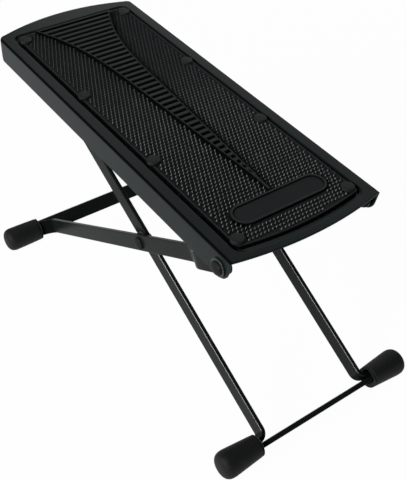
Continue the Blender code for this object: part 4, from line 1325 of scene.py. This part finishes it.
def rivetProfile(rivet):
    # domed head outside, shank, and the smaller formed head inside, as points of x and radius; the domes
    # are parts of an ellipse
    outer, inner, shank, head, tail = (rivet[key] for key in ("outer", "inner", "shank", "head", "tail"))
    brim, tailBrim = 0.25, 0.3
    dome, bulge = rivet["headHeight"] - brim, rivet["tailHeight"] - tailBrim
    turn, back = np.radians(np.linspace(0, 82, 10)), np.radians(np.linspace(10, 90, 8))
    points = [(outer + brim + dome * math.cos(a), head * math.sin(a)) for a in turn]
    points += [(outer + 0.45, head), (outer + 0.1, head - 0.05), (outer, head - 0.4), (outer, shank)]
    points += [(inner, shank), (inner, tail - tailBrim), (inner - tailBrim, tail)]
    points += [(inner - tailBrim - bulge * math.sin(a), tail * math.cos(a)) for a in back]
    return points


def makeTurned(name, profile, y, side, place, finish, body, node):
    makePiece(name, [sideTurned(profile, y, side)], place, finish, body, [node])


for word, side in sides.items():
    makeTurned(f"scissor_pin_{word}", rivetProfile(scissorRivet), bars["toScissor"], side, onRearFrame,
               rivetBlack, "rear_frame", f"scissor_rivet_{word}")
    makeTurned(f"hinge_pin_{word}", rivetProfile(hingeRivet), 0.0, side, onHinge,
               rivetBlack, "tray", f"hinge_rivet_{word}")
    makeTurned(f"hinge_ring_{word}", washerProfile, 0.0, side, onHinge,
               washerSteel, "tray", f"hinge_washer_{word}")


# CAD pieces that keep their shape and get a finish

carried = {
    "notch_rack_left": blackCoat,
    "notch_rack_right": blackCoat,
    "locking_rod": rodZinc,
    "scissor_spacer_left": spacerNylon,
    "scissor_spacer_right": spacerNylon,
}
for name, finish in carried.items():
    mesh = nodes[name].data
    mesh.materials.clear()
    mesh.materials.append(finish)
print("CAD pieces finished")


# Floor, light and camera

studio = {
    "floorSize": 12.0,
    "floorColor": (0.72, 0.72, 0.72),
    "floorRoughness": 0.9,
    "whiteShare": 0.98,
    "horizonColor": (0.95, 0.95, 0.95),
    "overheadColor": (0.016, 0.017, 0.018),
    "horizonTop": (0.05, 0.22),              # sines of the heights between which the horizon fades out
    "lamps": [
        # name, place, aim, size, watts
        ("keySoftbox", (-1.15, -0.12, 0.72), (0.0, 0.0, 0.10), (0.45, 0.45), 18.5),
        ("rearTopSoftbox", (1.08, 0.97, 1.15), (0.0, 0.0, 0.12), (1.6, 1.2), 8.7),
    ],
    "cameraPlace": (-0.26643, -0.39831, 0.4421),
    "cameraTurn": (0.89098, 0.0064, -0.62611),
    "sensor": 36.0,
    "focalPixels": 843.996,                  # focal length in pixels of the photograph
    "photoPixels": 480,                      # its longer side
    "clipStart": 0.01,
}


def makeFloor():
    # a matt grey floor that the camera, reflections and glass see as white
    half = studio["floorSize"] / 2
    corners = [(-half, -half, 0), (half, -half, 0), (half, half, 0), (-half, half, 0)]
    mesh = bpy.data.meshes.new("floor")
    mesh.from_pydata(corners, [], [(0, 1, 2, 3)])
    s = Shade("paleFloor")
    s.finish(Base_Color=studio["floorColor"], Roughness=studio["floorRoughness"], Specular_IOR_Level=0.0)
    rays = ("Is Camera Ray", "Is Glossy Ray", "Is Transmission Ray")
    camera, glossy, transmitted = (s.make("ShaderNodeLightPath", {}, {}, ray) for ray in rays)
    seen = camera.orElse(glossy).orElse(transmitted) * studio["whiteShare"]
    glow = s.make("ShaderNodeEmission", {}, {"Color": (1.0, 1.0, 1.0), "Strength": 1.0})
    mix = s.make("ShaderNodeMixShader", {}, {0: seen, 1: Wire(s, s.shader.outputs[0]), 2: glow})
    s.plug(s.found("OUTPUT_MATERIAL").inputs["Surface"], mix)
    mesh.materials.append(s.owner)
    floor = bpy.data.objects.new("floor", mesh)
    bpy.context.scene.collection.objects.link(floor)


def makeWorld():
    # a pale band round the horizon that fades into a dark ceiling
    s = Shade("studio", world=True)
    fade = s.along("Z").ramp(*studio["horizonTop"])
    color = s.blend(fade, studio["horizonColor"], studio["overheadColor"])
    bpy.context.scene.world = s.finish(Color=color)


def aimed(place, aim):
    # the turn that points a lamp's -Z at its aim
    return (Vector(aim) - Vector(place)).to_track_quat("-Z", "Y").to_euler()


def makeLamps():
    for name, place, aim, size, watts in studio["lamps"]:
        lamp = bpy.data.lights.new(name, "AREA")
        lamp.shape = "RECTANGLE"
        lamp.size, lamp.size_y = size
        lamp.energy = watts
        holder = bpy.data.objects.new(name, lamp)
        holder.location = place
        holder.rotation_euler = aimed(place, aim)
        bpy.context.scene.collection.objects.link(holder)


def makeCamera():
    camera = bpy.data.cameras.new("camera")
    camera.sensor_fit = "AUTO"
    camera.sensor_width = studio["sensor"]
    camera.lens = studio["focalPixels"] / studio["photoPixels"] * studio["sensor"]
    camera.clip_start = studio["clipStart"]
    holder = bpy.data.objects.new("camera", camera)
    holder.location = studio["cameraPlace"]
    holder.rotation_euler = studio["cameraTurn"]
    bpy.context.scene.collection.objects.link(holder)
    bpy.context.scene.camera = holder


makeFloor()
makeWorld()
makeLamps()
makeCamera()
bpy.context.scene.view_settings.view_transform = "Standard"
print("studio made")
